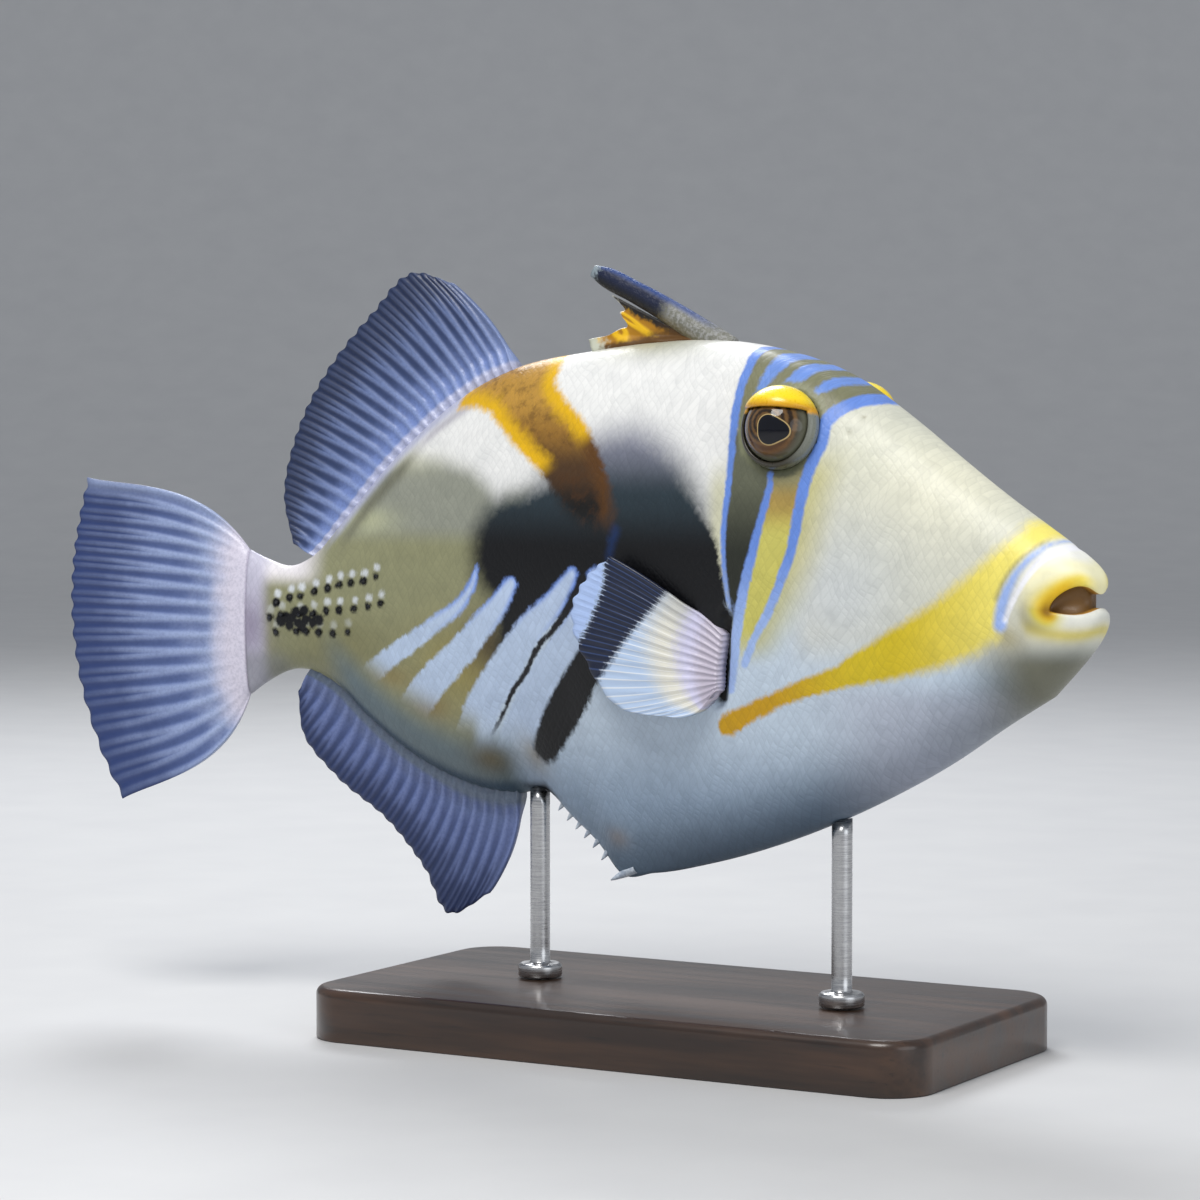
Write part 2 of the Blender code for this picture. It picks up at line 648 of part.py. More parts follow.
def cut_gill(torso, side):
    # A thin blade, curved to follow the edge of the gill cover
    bm = bmesh.new()
    rings = []
    for k in range(9):
        share = k / 8
        station = GILL_TOP[0] + (GILL_BOTTOM[0] - GILL_TOP[0]) * share - 1.1 * math.sin(math.pi * share)
        height = GILL_TOP[1] + (GILL_BOTTOM[1] - GILL_TOP[1]) * share
        half = GILL_HALF_WIDTH * (0.25 + 0.75 * math.sin(math.pi * share))
        surface = body_side(station, height)
        rings.append([bm.verts.new(place(station + shift, side * (surface + out), height))
                      for shift, out in ((-half, 2.0), (half, 2.0), (half * 0.6, -GILL_DEPTH),
                                         (-half * 0.6, -GILL_DEPTH))])
    for one, two in zip(rings[:-1], rings[1:]):
        for k in range(4):
            bm.faces.new((one[k], two[k], two[(k + 1) % 4], one[(k + 1) % 4]))
    bm.faces.new(rings[0])
    bm.faces.new(rings[-1][::-1])
    bmesh.ops.recalc_face_normals(bm, faces=bm.faces)
    blade = finish_mesh("blade", bm)
    apply_boolean(torso, blade, "DIFFERENCE")
    drop(blade)


def cut_nostrils(head, side):
    for station, height in NOSTRILS:
        surface = body_side(station, height)
        drill = cone("drill", place(station, side * (surface - NOSTRIL_DEPTH), height),
                     place(station, side * (surface + 2.0), height), NOSTRIL_RADIUS, 8, NOSTRIL_RADIUS)
        apply_boolean(head, drill, "DIFFERENCE")
        drop(drill)


def stand_base():
    bm = bmesh.new()
    corner = []
    half_long, half_wide = BASE_LENGTH / 2 - BASE_CORNER, BASE_WIDTH / 2 - BASE_CORNER
    for quarter, (x, y) in enumerate(((1, 1), (-1, 1), (-1, -1), (1, -1))):
        for k in range(7):
            angle = math.pi / 2 * (quarter + k / 6)
            corner.append(bm.verts.new(((x * half_long + BASE_CORNER * math.cos(angle)) * MM,
                                        (y * half_wide + BASE_CORNER * math.sin(angle)) * MM, 0.0)))
    foot = bm.faces.new(corner)
    grown = bmesh.ops.extrude_face_region(bm, geom=[foot])
    top = [item for item in grown["geom"] if isinstance(item, bmesh.types.BMVert)]
    bmesh.ops.translate(bm, verts=top, vec=(0, 0, BASE_THICKNESS * MM))
    rim = [edge for edge in bm.edges if all(vertex in top for vertex in edge.verts)]
    bmesh.ops.bevel(bm, geom=rim, offset=BASE_BEVEL * MM, segments=3, affect="EDGES", profile=0.5)
    bmesh.ops.recalc_face_normals(bm, faces=bm.faces)
    return finish_mesh("stand_base", bm)


def stand_rod(name, station, clearance):
    # A rod in a turned collar on the base, its top cut to the belly
    foot = place(station, 0, BASE_THICKNESS + GAP)
    top = float(belly_line(station)) + 2 * ROD_RADIUS
    low = BASE_THICKNESS + GAP
    high = low + COLLAR_HEIGHT
    profile = [(COLLAR_RADIUS, low), (COLLAR_RADIUS, high - COLLAR_EDGE),
               (COLLAR_RADIUS - COLLAR_EDGE, high), (ROD_RADIUS, high), (ROD_RADIUS, top)]
    bm = bmesh.new()
    rings = []
    for radius, height in profile:
        rings.append([bm.verts.new((foot.x + radius * MM * math.cos(2 * math.pi * k / 16),
                                    foot.y + radius * MM * math.sin(2 * math.pi * k / 16), height * MM))
                      for k in range(16)])
    for one, two in zip(rings[:-1], rings[1:]):
        for k in range(16):
            bm.faces.new((one[k], one[(k + 1) % 16], two[(k + 1) % 16], two[k]))
    bm.faces.new(rings[0][::-1])
    bm.faces.new(rings[-1])
    bmesh.ops.recalc_face_normals(bm, faces=bm.faces)
    rod = finish_mesh(name, bm)
    apply_boolean(rod, clearance, "DIFFERENCE")
    return rod


FINISHES = {
    "skin": ((0.80, 0.80, 0.76), 0.45, 0.0),
    "fin": ((0.42, 0.52, 0.80), 0.4, 0.0),
    "web": ((0.86, 0.62, 0.05), 0.45, 0.0),
    "spine": ((0.25, 0.28, 0.36), 0.5, 0.0),
    "eye": ((0.03, 0.03, 0.05), 0.08, 0.0),
    "rim": ((0.90, 0.70, 0.08), 0.35, 0.0),
    "stand": ((0.035, 0.030, 0.028), 0.35, 0.0),
    "steel": ((0.55, 0.55, 0.56), 0.3, 1.0),
}
FINISH_OF = {"head": "skin", "torso": "skin", "tail_stalk": "skin", "pelvic_flap": "skin", "tail_fin": "fin",
             "soft_dorsal_fin": "fin", "anal_fin": "fin", "spiny_dorsal_web": "web", "locking_spine": "spine",
             "pectoral_fin_left": "fin", "pectoral_fin_right": "fin", "eye_left": "eye", "eye_right": "eye",
             "eye_rim_left": "rim", "eye_rim_right": "rim", "stand_base": "stand", "stand_rod_front": "steel",
             "stand_rod_rear": "steel"}


def paint(thing):
    finish = FINISH_OF[thing.name]
    material = bpy.data.materials.get(finish) or bpy.data.materials.new(finish)
    material.use_nodes = True
    shader = material.node_tree.nodes["Principled BSDF"]
    colour, roughness, metallic = FINISHES[finish]
    shader.inputs["Base Color"].default_value = (*colour, 1.0)
    shader.inputs["Roughness"].default_value = roughness
    shader.inputs["Metallic"].default_value = metallic
    thing.data.materials.clear()
    thing.data.materials.append(material)
    thing.data.shade_smooth()
    thing.data.set_sharp_from_angle(angle=math.radians(50))


def main():
    for thing in list(bpy.data.objects):
        bpy.data.objects.remove(thing)
    body = whole_body()
    clearance = clearance_body()
    head, torso, stalk, flap = part_the_body(body)
    nodes = [head, torso, stalk, flap, tail_fin()]
    for side, word in ((1, "left"), (-1, "right")):
        centre, axis = eye_frame(side)
        nodes.append(eye_ball("eye_" + word, centre, axis))
        rim = eye_rim("eye_rim_" + word, side)
        apply_boolean(rim, clearance, "DIFFERENCE")
        nodes.append(rim)
        socket = eye_ball("socket", centre, axis, GAP)
        apply_boolean(head, socket, "DIFFERENCE")
        drop(socket)
        cut_nostrils(head, side)
        cut_gill(torso, side)
    for fin in fins():
        nodes.append(apply_boolean(fin, clearance, "DIFFERENCE"))
    around_spine = locking_spine("around_spine", GAP)
    apply_boolean(bpy.data.objects["spiny_dorsal_web"], around_spine, "DIFFERENCE")
    drop(around_spine)
    nodes.append(apply_boolean(locking_spine(), clearance, "DIFFERENCE"))
    add_thorns(stalk)
    add_prickles(flap)
    nodes.append(stand_base())
    nodes.append(stand_rod("stand_rod_front", FRONT_ROD_STATION, clearance))
    nodes.append(stand_rod("stand_rod_rear", REAR_ROD_STATION, clearance))
    drop(body)
    drop(clearance)
    for node in nodes:
        paint(node)


main()
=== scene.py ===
import math

import bpy
import numpy as np
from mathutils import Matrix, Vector


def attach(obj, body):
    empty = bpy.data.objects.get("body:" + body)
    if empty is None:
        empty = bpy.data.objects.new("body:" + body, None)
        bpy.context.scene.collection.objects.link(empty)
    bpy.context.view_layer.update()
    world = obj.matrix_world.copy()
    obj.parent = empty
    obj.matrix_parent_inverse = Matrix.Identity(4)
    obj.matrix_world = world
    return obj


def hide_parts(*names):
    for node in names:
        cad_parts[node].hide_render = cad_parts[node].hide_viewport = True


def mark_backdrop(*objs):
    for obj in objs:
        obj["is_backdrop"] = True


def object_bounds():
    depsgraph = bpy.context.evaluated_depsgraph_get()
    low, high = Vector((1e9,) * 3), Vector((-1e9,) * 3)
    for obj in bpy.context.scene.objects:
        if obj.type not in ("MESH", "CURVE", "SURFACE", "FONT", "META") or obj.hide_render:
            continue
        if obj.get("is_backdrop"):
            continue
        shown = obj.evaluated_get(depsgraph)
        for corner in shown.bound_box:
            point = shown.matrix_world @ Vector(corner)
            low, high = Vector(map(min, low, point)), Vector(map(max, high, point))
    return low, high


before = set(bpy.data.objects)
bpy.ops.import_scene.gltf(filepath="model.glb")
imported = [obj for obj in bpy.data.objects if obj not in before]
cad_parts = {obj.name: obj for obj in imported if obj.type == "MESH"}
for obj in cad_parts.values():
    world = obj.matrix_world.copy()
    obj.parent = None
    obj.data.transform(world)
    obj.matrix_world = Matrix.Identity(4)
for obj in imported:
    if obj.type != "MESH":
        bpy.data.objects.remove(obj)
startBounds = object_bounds()
print("frame loaded")

mm = 0.001
gap = 0.3  # left between pieces that touch, in mm

# Everything is laid out in millimetres as station, side and height: how far behind the lips along
# the body, how far from the body's middle with the fish's left positive, and how far over the floor.
body = {
    "back": [(9.7, 98.1), (21, 105.0), (31, 111.6), (41, 118.2), (52, 124.5), (65, 129.3), (80, 131.9),
             (95, 131.6), (109, 130.0), (125, 127.0), (134, 123.2), (145, 115.7), (154, 107.7),
             (163, 97.8), (169, 91.4), (175.5, 88.2), (181, 89.6), (185, 91.4)],
    "belly": [(9.7, 68.7), (18, 63.8), (31, 55.6), (46, 47.8), (64, 40.2), (82, 34.4), (95, 31.4),
              (102.5, 31.0), (107, 36.2), (113, 41.4), (119, 46.4), (124, 45.4), (132, 45.8),
              (141, 48.4), (150, 53.0), (158, 58.9), (165, 65.0), (175, 67.7), (181, 65.0), (185, 62.2)],
    "halfWidth": [(9.7, 8.2), (21, 9.8), (35, 11.8), (48, 13.6), (64, 15.2), (80, 16.3), (95, 16.5),
                  (110, 15.7), (125, 13.9), (140, 11.3), (155, 8.4), (166, 6.5), (176, 4.9), (185, 2.6)],
    "widest": [(9.7, 84.5), (27, 83.5), (48, 86.5), (69, 90.0), (100, 91.0), (120, 89.0), (140, 84.5),
               (158, 79.0), (172, 78.0), (185, 77.0)],
    "upperSharpness": [(9.7, 0.90), (27, 0.82), (44, 0.70), (58, 0.56), (71, 0.68), (86, 0.92), (110, 1.0),
                       (150, 0.95), (185, 0.90)],
    "lowerSharpness": [(9.7, 0.95), (38, 1.0), (64, 1.1), (84, 1.4), (96, 1.9), (103, 2.1), (112, 1.7),
                       (121, 1.2), (140, 1.05), (185, 0.9)],
    "end": 184.5,
    "overBase": 90.0,   # this station stands over the middle of the base
    "headTurn": 9.0,    # degrees to the fish's right
    "tailTurn": 8.0,
}


def ease(share):
    # 3s^2 - 2s^3, held at its ends
    share = np.clip(share, 0.0, 1.0)
    return share * share * (3.0 - 2.0 * share)


def smoothCurve(points):
    # Cubic Hermite line through the points, each slope taken from the neighbours
    at, value = np.array(points, float).T
    slope = np.gradient(value, at)

    def read(where):
        where = np.clip(where, at[0], at[-1])
        left = np.clip(np.searchsorted(at, where) - 1, 0, len(at) - 2)
        span = at[left + 1] - at[left]
        share = (where - at[left]) / span
        rest = 1 - share
        start = (1 + 2 * share) * rest ** 2 * value[left] + share * rest ** 2 * span * slope[left]
        end = share ** 2 * (3 - 2 * share) * value[left + 1] - share ** 2 * rest * span * slope[left + 1]
        return start + end

    return read


backLine = smoothCurve(body["back"])
bellyLine = smoothCurve(body["belly"])
halfWidth = smoothCurve(body["halfWidth"])
widestHeight = smoothCurve(body["widest"])
upperSharpness = smoothCurve(body["upperSharpness"])
lowerSharpness = smoothCurve(body["lowerSharpness"])


def heading(station):
    # The way the fish points, in radians from +X: the head turns before station 100, the tail after 115
    head = ease((100.0 - station) / 50.0)
    tail = ease((station - 115.0) / 70.0)
    return np.radians(body["tailTurn"] * tail - body["headTurn"] * head)


def middleLine():
    # The sum of short steps along the heading
    station = np.linspace(-10.0, 240.0, 1001)
    angle = heading(station)
    middle = (angle[1:] + angle[:-1]) / 2
    step = station[1] - station[0]
    along = np.concatenate([[0.0], np.cumsum(-np.cos(middle) * step)])
    across = np.concatenate([[0.0], np.cumsum(-np.sin(middle) * step)])
    along -= np.interp(body["overBase"], station, along)
    across -= np.interp(body["overBase"], station, across)
    return station, along, across


middlePath = middleLine()


def place(station, side, height):
    # Station, side and height in mm to a point in metres, sides being square to the heading
    station, side, height = np.broadcast_arrays(station, side, height)
    angle = heading(station)
    x = np.interp(station, middlePath[0], middlePath[1]) - np.sin(angle) * side
    y = np.interp(station, middlePath[0], middlePath[2]) + np.cos(angle) * side
    return np.stack([x, y, height], -1) * mm


def sectionPoint(station, angle):
    # A body section: side = half width * |cos|^sharpness, height = widest height + reach * sin
    up, out = np.sin(angle), np.cos(angle)
    widest = widestHeight(station)
    reach = np.where(up > 0, backLine(station) - widest, widest - bellyLine(station))
    power = np.where(up > 0, upperSharpness(station), lowerSharpness(station))
    return halfWidth(station) * np.sign(out) * np.abs(out) ** power, widest + reach * up


def bodySide(station, height):
    # How far the body's side stands from the middle: the section's formula solved for the side
    widest = widestHeight(station)
    above = height > widest
    reach = np.where(above, backLine(station) - widest, widest - bellyLine(station))
    power = np.where(above, upperSharpness(station), lowerSharpness(station))
    share = np.clip(np.abs(height - widest) / reach, 0.0, 0.999)
    return halfWidth(station) * (1 - share * share) ** (power / 2)


def turns(count, shift=0.5):
    # Angles spread evenly round a full turn
    return (np.arange(count) + shift) / count * 2 * math.pi


def unit(way):
    return way / np.linalg.norm(way, axis=-1, keepdims=True)


def buildRings(name, rings, material, closedEnds=True):
    # A closed surface through an array of rings, its faces outwards; each end is zipped, the first half
    # of its ring to the second
    count, size = rings.shape[:2]
    index = np.arange(count * size).reshape(count, size)
    after = np.roll(index, -1, axis=1)
    faces = np.stack([index[:-1], index[1:], after[1:], after[:-1]], -1).reshape(-1, 4)
    if closedEnds:
        k = np.arange(size // 2 - 1)
        across = size - 1 - k
        first = np.stack([index[0, k], index[0, k + 1], index[0, across - 1], index[0, across]], -1)
        last = np.stack([index[-1, k], index[-1, across], index[-1, across - 1], index[-1, k + 1]], -1)
        faces = np.concatenate([faces, first, last])
    spots = rings.reshape(-1, 3)
    middle = spots.mean(0)
    one, two, three, four = (spots[faces[:, k]] - middle for k in range(4))
    volume = (one * (np.cross(two, three) + np.cross(three, four))).sum()
    if volume < 0:
        faces = faces[:, ::-1]
    return meshObject(name, spots, faces, material)


def meshObject(name, spots, faces, material):
    mesh = bpy.data.meshes.new(name)
    mesh.from_pydata(spots.tolist(), [], faces.tolist())
    mesh.materials.append(material)
    mesh.shade_smooth()
    thing = bpy.data.objects.new(name, mesh)
    bpy.context.scene.collection.objects.link(thing)
    return thing


def keepNumbers(thing, name, *values):
    # Two or three numbers for each vertex, read by the materials
    stored = thing.data.attributes.new(name, "FLOAT_VECTOR", "POINT")
    values = np.stack(np.broadcast_arrays(*values, 0.0)[:3], -1)
    stored.data.foreach_set("vector", values.astype(np.float32).reshape(-1))


def keepColour(thing, name, values):
    stored = thing.data.attributes.new(name, "FLOAT_COLOR", "POINT")
    filled = np.concatenate([values, np.ones((len(values), 1))], 1)
    stored.data.foreach_set("color", filled.astype(np.float32).reshape(-1))


def toLight(colour):
    # A colour as seen on a screen to the strength of its light
    return np.asarray(colour, float) ** 2.2


# Nodes of the materials
class Value:
    # The output of a node, which adds, multiplies and compares like a number
    def __init__(self, tree, socket):
        self.tree = tree
        self.socket = socket

    def calc(self, operation, *others):
        # A step of arithmetic on this value and the others
        node = self.tree.nodes.new("ShaderNodeMath")
        node.operation = operation
        for socket, value in zip(node.inputs, (self, *others)):
            put(socket, value)
        return Value(self.tree, node.outputs[0])

    def __add__(self, other):
        return self.calc("ADD", other)

    def __sub__(self, other):
        return self.calc("SUBTRACT", other)

    def __mul__(self, other):
        return self.calc("MULTIPLY", other)

    def __truediv__(self, other):
        return self.calc("DIVIDE", other)

    def fade(self, low, high, start=0.0, end=1.0):
        # A soft step from start to end while the value goes from low to high
        node = self.tree.nodes.new("ShaderNodeMapRange")
        node.interpolation_type = "SMOOTHSTEP"
        names = ("Value", "From Min", "From Max", "To Min", "To Max")
        for name, value in zip(names, (self, low, high, start, end)):
            put(node.inputs[name], value)
        return Value(self.tree, node.outputs["Result"])

    def mix(self, below, above, way="MIX"):
        # One colour where the value is 0 and the other where it is 1
        node = self.tree.nodes.new("ShaderNodeMix")
        node.data_type = "RGBA"
        node.blend_type = way
        for name, value in (("Factor", self), ("A", below), ("B", above)):
            put(node.inputs[name], value)
        return Value(self.tree, node.outputs["Result"])


def put(socket, value):
    # A value is linked, a colour as seen on a screen is turned to light and a number stays
    if isinstance(value, Value):
        value.tree.links.new(value.socket, socket)
    elif isinstance(value, tuple):
        socket.default_value = (*toLight(value), 1.0)
    else:
        socket.default_value = value


class Paint:
    # A material under work; its fixed numbers go straight onto the shader's sockets
    sockets = {"specular": "Specular IOR Level", "coat": "Coat Weight", "coatRoughness": "Coat Roughness",
               "metallic": "Metallic"}

    def __init__(self, name):
        self.material = bpy.data.materials.new(name)
        self.material.use_nodes = True
        self.tree = self.material.node_tree
        self.shader = self.tree.nodes["Principled BSDF"]
        self.space = self.tree.nodes.new("ShaderNodeTexCoord").outputs["Object"]

    def stretch(self, *scale):
        node = self.tree.nodes.new("ShaderNodeMapping")
        node.inputs["Scale"].default_value = scale
        self.tree.links.new(self.space, node.inputs["Vector"])
        self.space = node.outputs["Vector"]

    def noise(self, scale, detail=2.0, roughness=0.5):
        node = self.tree.nodes.new("ShaderNodeTexNoise")
        for name, value in (("Scale", scale), ("Detail", detail), ("Roughness", roughness)):
            node.inputs[name].default_value = value
        self.tree.links.new(self.space, node.inputs["Vector"])
        return Value(self.tree, node.outputs["Fac"])

    def stored(self, name, output):
        node = self.tree.nodes.new("ShaderNodeAttribute")
        node.attribute_name = name
        return node.outputs[output]

    def numbers(self, name):
        split = self.tree.nodes.new("ShaderNodeSeparateXYZ")
        self.tree.links.new(self.stored(name, "Vector"), split.inputs[0])
        return [Value(self.tree, output) for output in split.outputs]

    def bump(self, height, strength, distance, under=None):
        node = self.tree.nodes.new("ShaderNodeBump")
        node.inputs["Strength"].default_value = strength
        node.inputs["Distance"].default_value = distance * mm
        put(node.inputs["Height"], height)
        if under:
            put(node.inputs["Normal"], under)
        return Value(self.tree, node.outputs["Normal"])

    def finish(self, colour, roughness, normal, **fixed):
        for name, value in (("Base Color", colour), ("Roughness", roughness), ("Normal", normal)):
            put(self.shader.inputs[name], value)
        for name, value in fixed.items():
            self.shader.inputs[self.sockets[name]].default_value = value
        return self.material


# Where the markings lie, as (station, height) in mm on both sides of the fish, with the width of a
# line at its start and its end
# the blue lines below the eye, and the brow's olive bars over a blue ground
blueLines = {
    "behindEye": {"widths": (2.2, 0.6), "points": [
        (69.3, 131), (69.1, 127), (69.5, 122), (69.4, 114), (69.4, 106), (70, 99), (70, 92),
        (69.2, 86.5), (68.4, 81.5)]},
    "front": {"widths": (2.8, 1.6), "points": [
        (42.6, 121.5), (45.9, 121), (48.9, 119), (50.8, 116.8), (51, 113), (52.4, 109), (53.5, 104.5),
        (54.4, 99), (55.2, 94.5), (56.6, 90.6), (58.8, 85.5), (61.1, 81.3), (63.5, 77.8), (66, 73.2)]},
    "middle": {"widths": (1.2, 2.8), "points": [
        (60.4, 107.4), (60.5, 105), (61.9, 99.7), (63.3, 94.5), (65, 88.5), (66.8, 81.5), (68.2, 75),
        (69.8, 69)]},
}
crown = [
    (69.6, 140), (69.3, 124), (69.2, 118), (50.4, 117.5), (48.5, 119.2), (45.7, 120.8), (42.2, 121.5),
    (41.4, 126), (41, 140)]
oliveLines = {
    "browOne": {"widths": (3.9, 2.6), "points": [
        (67.2, 131), (66.9, 128.4), (67.3, 125.5), (67.7, 122), (68.2, 117)]},
    "browTwo": {"widths": (2.6, 2.4), "points": [
        (59.6, 128.8), (60.4, 127.2), (61, 125.6), (62.6, 123.2)]},
    "browThree": {"widths": (2.6, 3.2), "points": [
        (52.8, 126.6), (54.6, 125.3), (55.4, 124), (56.4, 122)]},
    "browFour": {"widths": (2.9, 3.8), "points": [
        (44.0, 123.4), (47.2, 122.9), (50.2, 121.6), (53.4, 119.6)]},
}
oliveRing = 8.9             # mm from the eye's axis to the ring's outer edge
# the bands that fill the room between the blue lines, whose lower parts are their edges, and the
# yellow band from the lip to the pectoral fin
behindEye, front, middle = (blueLines[name]["points"] for name in ("behindEye", "front", "middle"))
frontUp, middleUp = front[12:5:-1], middle[4:1:-1]
darkBand = [(69.3, 116), *behindEye[4:], (67.4, 80), (66.6, 83), *middleUp, (60.6, 105), (60.6, 112)]
yellowBand = [(60.6, 112), (60.6, 105), *middleUp[::-1], (67, 81.5), (68.7, 75), (69, 71.5), (66.5, 72.5),
              *frontUp, (52.2, 109), (51.5, 114)]
cheekBand = [
    (12.2, 101), (12.9, 97.9), (16.5, 94.3), (21, 90.2), (26, 86.1), (32, 82.2), (37.7, 79),
    (46.7, 73.4), (54, 70.6), (61.7, 67.6), (67.9, 65.2), (71.6, 63.6), (73.2, 61.6), (72.3, 59.9),
    (70, 59.9), (67.4, 61.4), (64.6, 63), (58.4, 65.8), (51.8, 68), (44.6, 69.8), (35.4, 71.6),
    (26.6, 73.8), (19.4, 76.6), (15.2, 79.6), (14.9, 83), (14.4, 86.4), (12.8, 90.2), (10.4, 93.6),
    (8, 96.2), (4.5, 97.6), (4, 101)]
# the stripes down the rear flank, with how fast each widens, and a black line between two of them
whiteStripes = {
    "one": {"widths": (0.4, 4.4), "swell": 0.45, "points": [
        (126.0, 89.6), (127.6, 85.4), (131.3, 81.5), (136.1, 78.6), (141.3, 75.6), (146.4, 72.6),
        (151.5, 69.6), (157, 66)]},
    "two": {"widths": (1.6, 7.0), "swell": 0.36, "points": [
        (117.3, 87), (121.2, 82.2), (125.3, 78.2), (129.8, 73.9), (135.8, 69.2), (140.5, 65.2),
        (146, 59.5)]},
    "three": {"widths": (1.4, 8.0), "swell": 0.45, "points": [
        (103.3, 89.2), (106, 85.6), (109, 82.2), (112.9, 79), (116.3, 75.2), (120.2, 70.6),
        (124.6, 65.4), (128, 60.4), (132, 53)]},
    "four": {"widths": (3.4, 6.8), "swell": 0.3, "points": [
        (98.2, 88.6), (99.4, 85.0), (102.4, 80.0), (106.8, 74.7), (111.3, 69.6), (115.9, 63.8),
        (119.3, 58.2), (123, 51)]},
}
thinLine = {"widths": (1.5, 0.5), "points": [
    (101, 88), (104.2, 83), (108.1, 78.4), (112.7, 74.2), (115.3, 70.2), (119.2, 66), (121.8, 62),
    (124, 59), (126, 56.8)]}
# the mouth's fold, white with a blue edge and a painted shadow behind
foldLine = {"widths": (1.8, 0.8), "points": [
    (3.2, 96.4), (5.2, 95.4), (6.9, 94.2), (8.3, 92.9), (9.4, 91.4), (10.4, 89.8), (11.2, 88.4),
    (12.1, 86.6), (12.9, 84.8), (13.7, 82.8)]}
foldBlue = {"widths": (0.6, 2.3), "points": [
    (4.4, 97.2), (7.2, 96.1), (8.8, 94.8), (10.3, 93.2), (11.6, 91.4), (12.6, 89.6), (13.5, 87.4),
    (14.1, 85.4), (14.5, 83.6), (14.6, 81.8)]}
foldShade = {"widths": (0.4, 0.8), "points": [
    (8.6, 96.4), (10, 94.9), (11.8, 93.1), (13.2, 91.1), (14.3, 89), (15.2, 86.4)]}
# the yellow-brown saddle over the back, the dark zone in the flank and the tones round it
saddle = [
    (113.5, 134), (112.2, 124.4), (109.2, 121.2), (105.1, 118.4), (102.2, 115.5), (99.6, 112.2),
    (97.5, 108.3), (95.8, 104.4), (95, 100.4), (95.6, 97), (99, 96), (104, 99), (108, 103.4),
    (111.7, 107.4), (114.8, 109.6), (118.8, 112.4), (122.3, 115.2), (126.2, 118.4), (131, 119.6),
    (135.5, 119.2), (136, 134)]
darkZone = [
    (106, 108), (102, 113.8), (96.8, 115.3), (91.8, 116), (85.5, 113.9), (79.2, 109), (75, 102.5),
    (72.0, 96), (70.5, 91), (69.2, 84.5), (69.6, 78), (71.5, 71), (74, 71.5), (75, 76), (76.5, 80),
    (81, 83), (86.3, 82.4), (90, 80), (92.9, 76.9), (95.7, 73.3), (99.5, 68.4), (102.6, 63.6),
    (106.2, 59.2), (110.4, 55), (112.6, 52.8), (114.6, 52), (116.6, 53.2), (116.8, 56), (114.8, 60.5),
    (112, 64.6), (108, 69.8), (104, 75.4), (101.6, 79), (104, 82), (109, 79.5), (114.5, 76), (119, 71),
    (121.6, 67.5), (123, 69), (122.2, 74), (121, 79), (120.4, 82.5), (124, 84.6), (127, 88),
    (127.5, 92), (127, 96.4), (124.2, 100), (120.9, 102), (116.2, 103), (111.7, 106)]
rearFlank = [(118, 99), (108, 92), (105, 87), *whiteStripes["three"]["points"][2:7], (128, 60.4), (131, 52),
             (131, 40), (200, 40), (200, 98), (124, 98)]
greyPatch = [
    (165, 104), (153, 109), (147.7, 109.3), (137.4, 109.4), (128.8, 107.6), (124.7, 105),
    (121.3, 101.9), (119.5, 103.2), (114, 104), (114, 95), (170, 95)]
blueStreak = {"widths": (1.6, 1.0), "points": [(94.3, 97), (95.1, 94.2), (95.7, 91.4)]}
ventPatch = [(122, 47.3), (117.3, 47.9), (115.6, 45.4), (115.6, 41.6), (119, 44)]
# the dark dots of the three thorn rows, and a stain behind them
thornSpots = [
    (152.1, 86.9), (155.3, 85.8), (158.5, 85.5), (161.4, 85), (164.2, 84.2), (167.6, 83.5), (171, 82.5),
    (173.5, 82.2), (176.7, 81.1), (150.8, 81.7), (154, 81), (157.5, 80.4), (161.2, 80.1), (164.4, 79.8),
    (167.8, 79.1), (171.1, 78.8), (175.5, 78.7), (178.4, 78), (159.2, 75.9), (162.9, 75.4),
    (166.4, 75.5), (169.4, 75.7), (171.8, 75.6), (176.8, 75.2)]
thornStain = [
    (167.6, 77.4), (169.4, 77.9), (171.2, 77.2), (172.9, 78.1), (170.4, 76.4), (173.4, 76.6),
    (174.2, 78.2), (169.8, 79.6), (175.6, 77.6), (166.2, 78.0), (171.8, 79.4)]
nostrils = [(44.8, 117.8), (46.4, 114.9)]


def sampled(line, steps=48):
    # A smooth line through the points, spread evenly by their order, with its half widths
    points = np.array(line["points"], float)
    order = np.linspace(0.0, 1.0, len(points))
    share = np.linspace(0.0, 1.0, steps)
    station = smoothCurve(list(zip(order, points[:, 0])))(share)
    height = smoothCurve(list(zip(order, points[:, 1])))(share)
    first, last = line["widths"]
    grown = share ** line.get("swell", 1.0)
    return station, height, (first + (last - first) * grown) / 2


def lineDistance(line, station, height):
    # Distance in mm from the edge of a line, negative on it
    at, up, half = sampled(line)
    nearest = np.full(len(station), 99.0)
    for k in range(len(at) - 1):
        stepAt, stepUp = at[k + 1] - at[k], up[k + 1] - up[k]
        share = ((station - at[k]) * stepAt + (height - up[k]) * stepUp) / (stepAt ** 2 + stepUp ** 2)
        share = np.clip(share, 0.0, 1.0)
        away = np.hypot(station - at[k] - share * stepAt, height - up[k] - share * stepUp)
        nearest = np.minimum(nearest, away - half[k] - share * (half[k + 1] - half[k]))
    return nearest


def linesDistance(lines, station, height):
    # Distance in mm from the nearest of several lines
    return np.min([lineDistance(line, station, height) for line in lines.values()], axis=0)


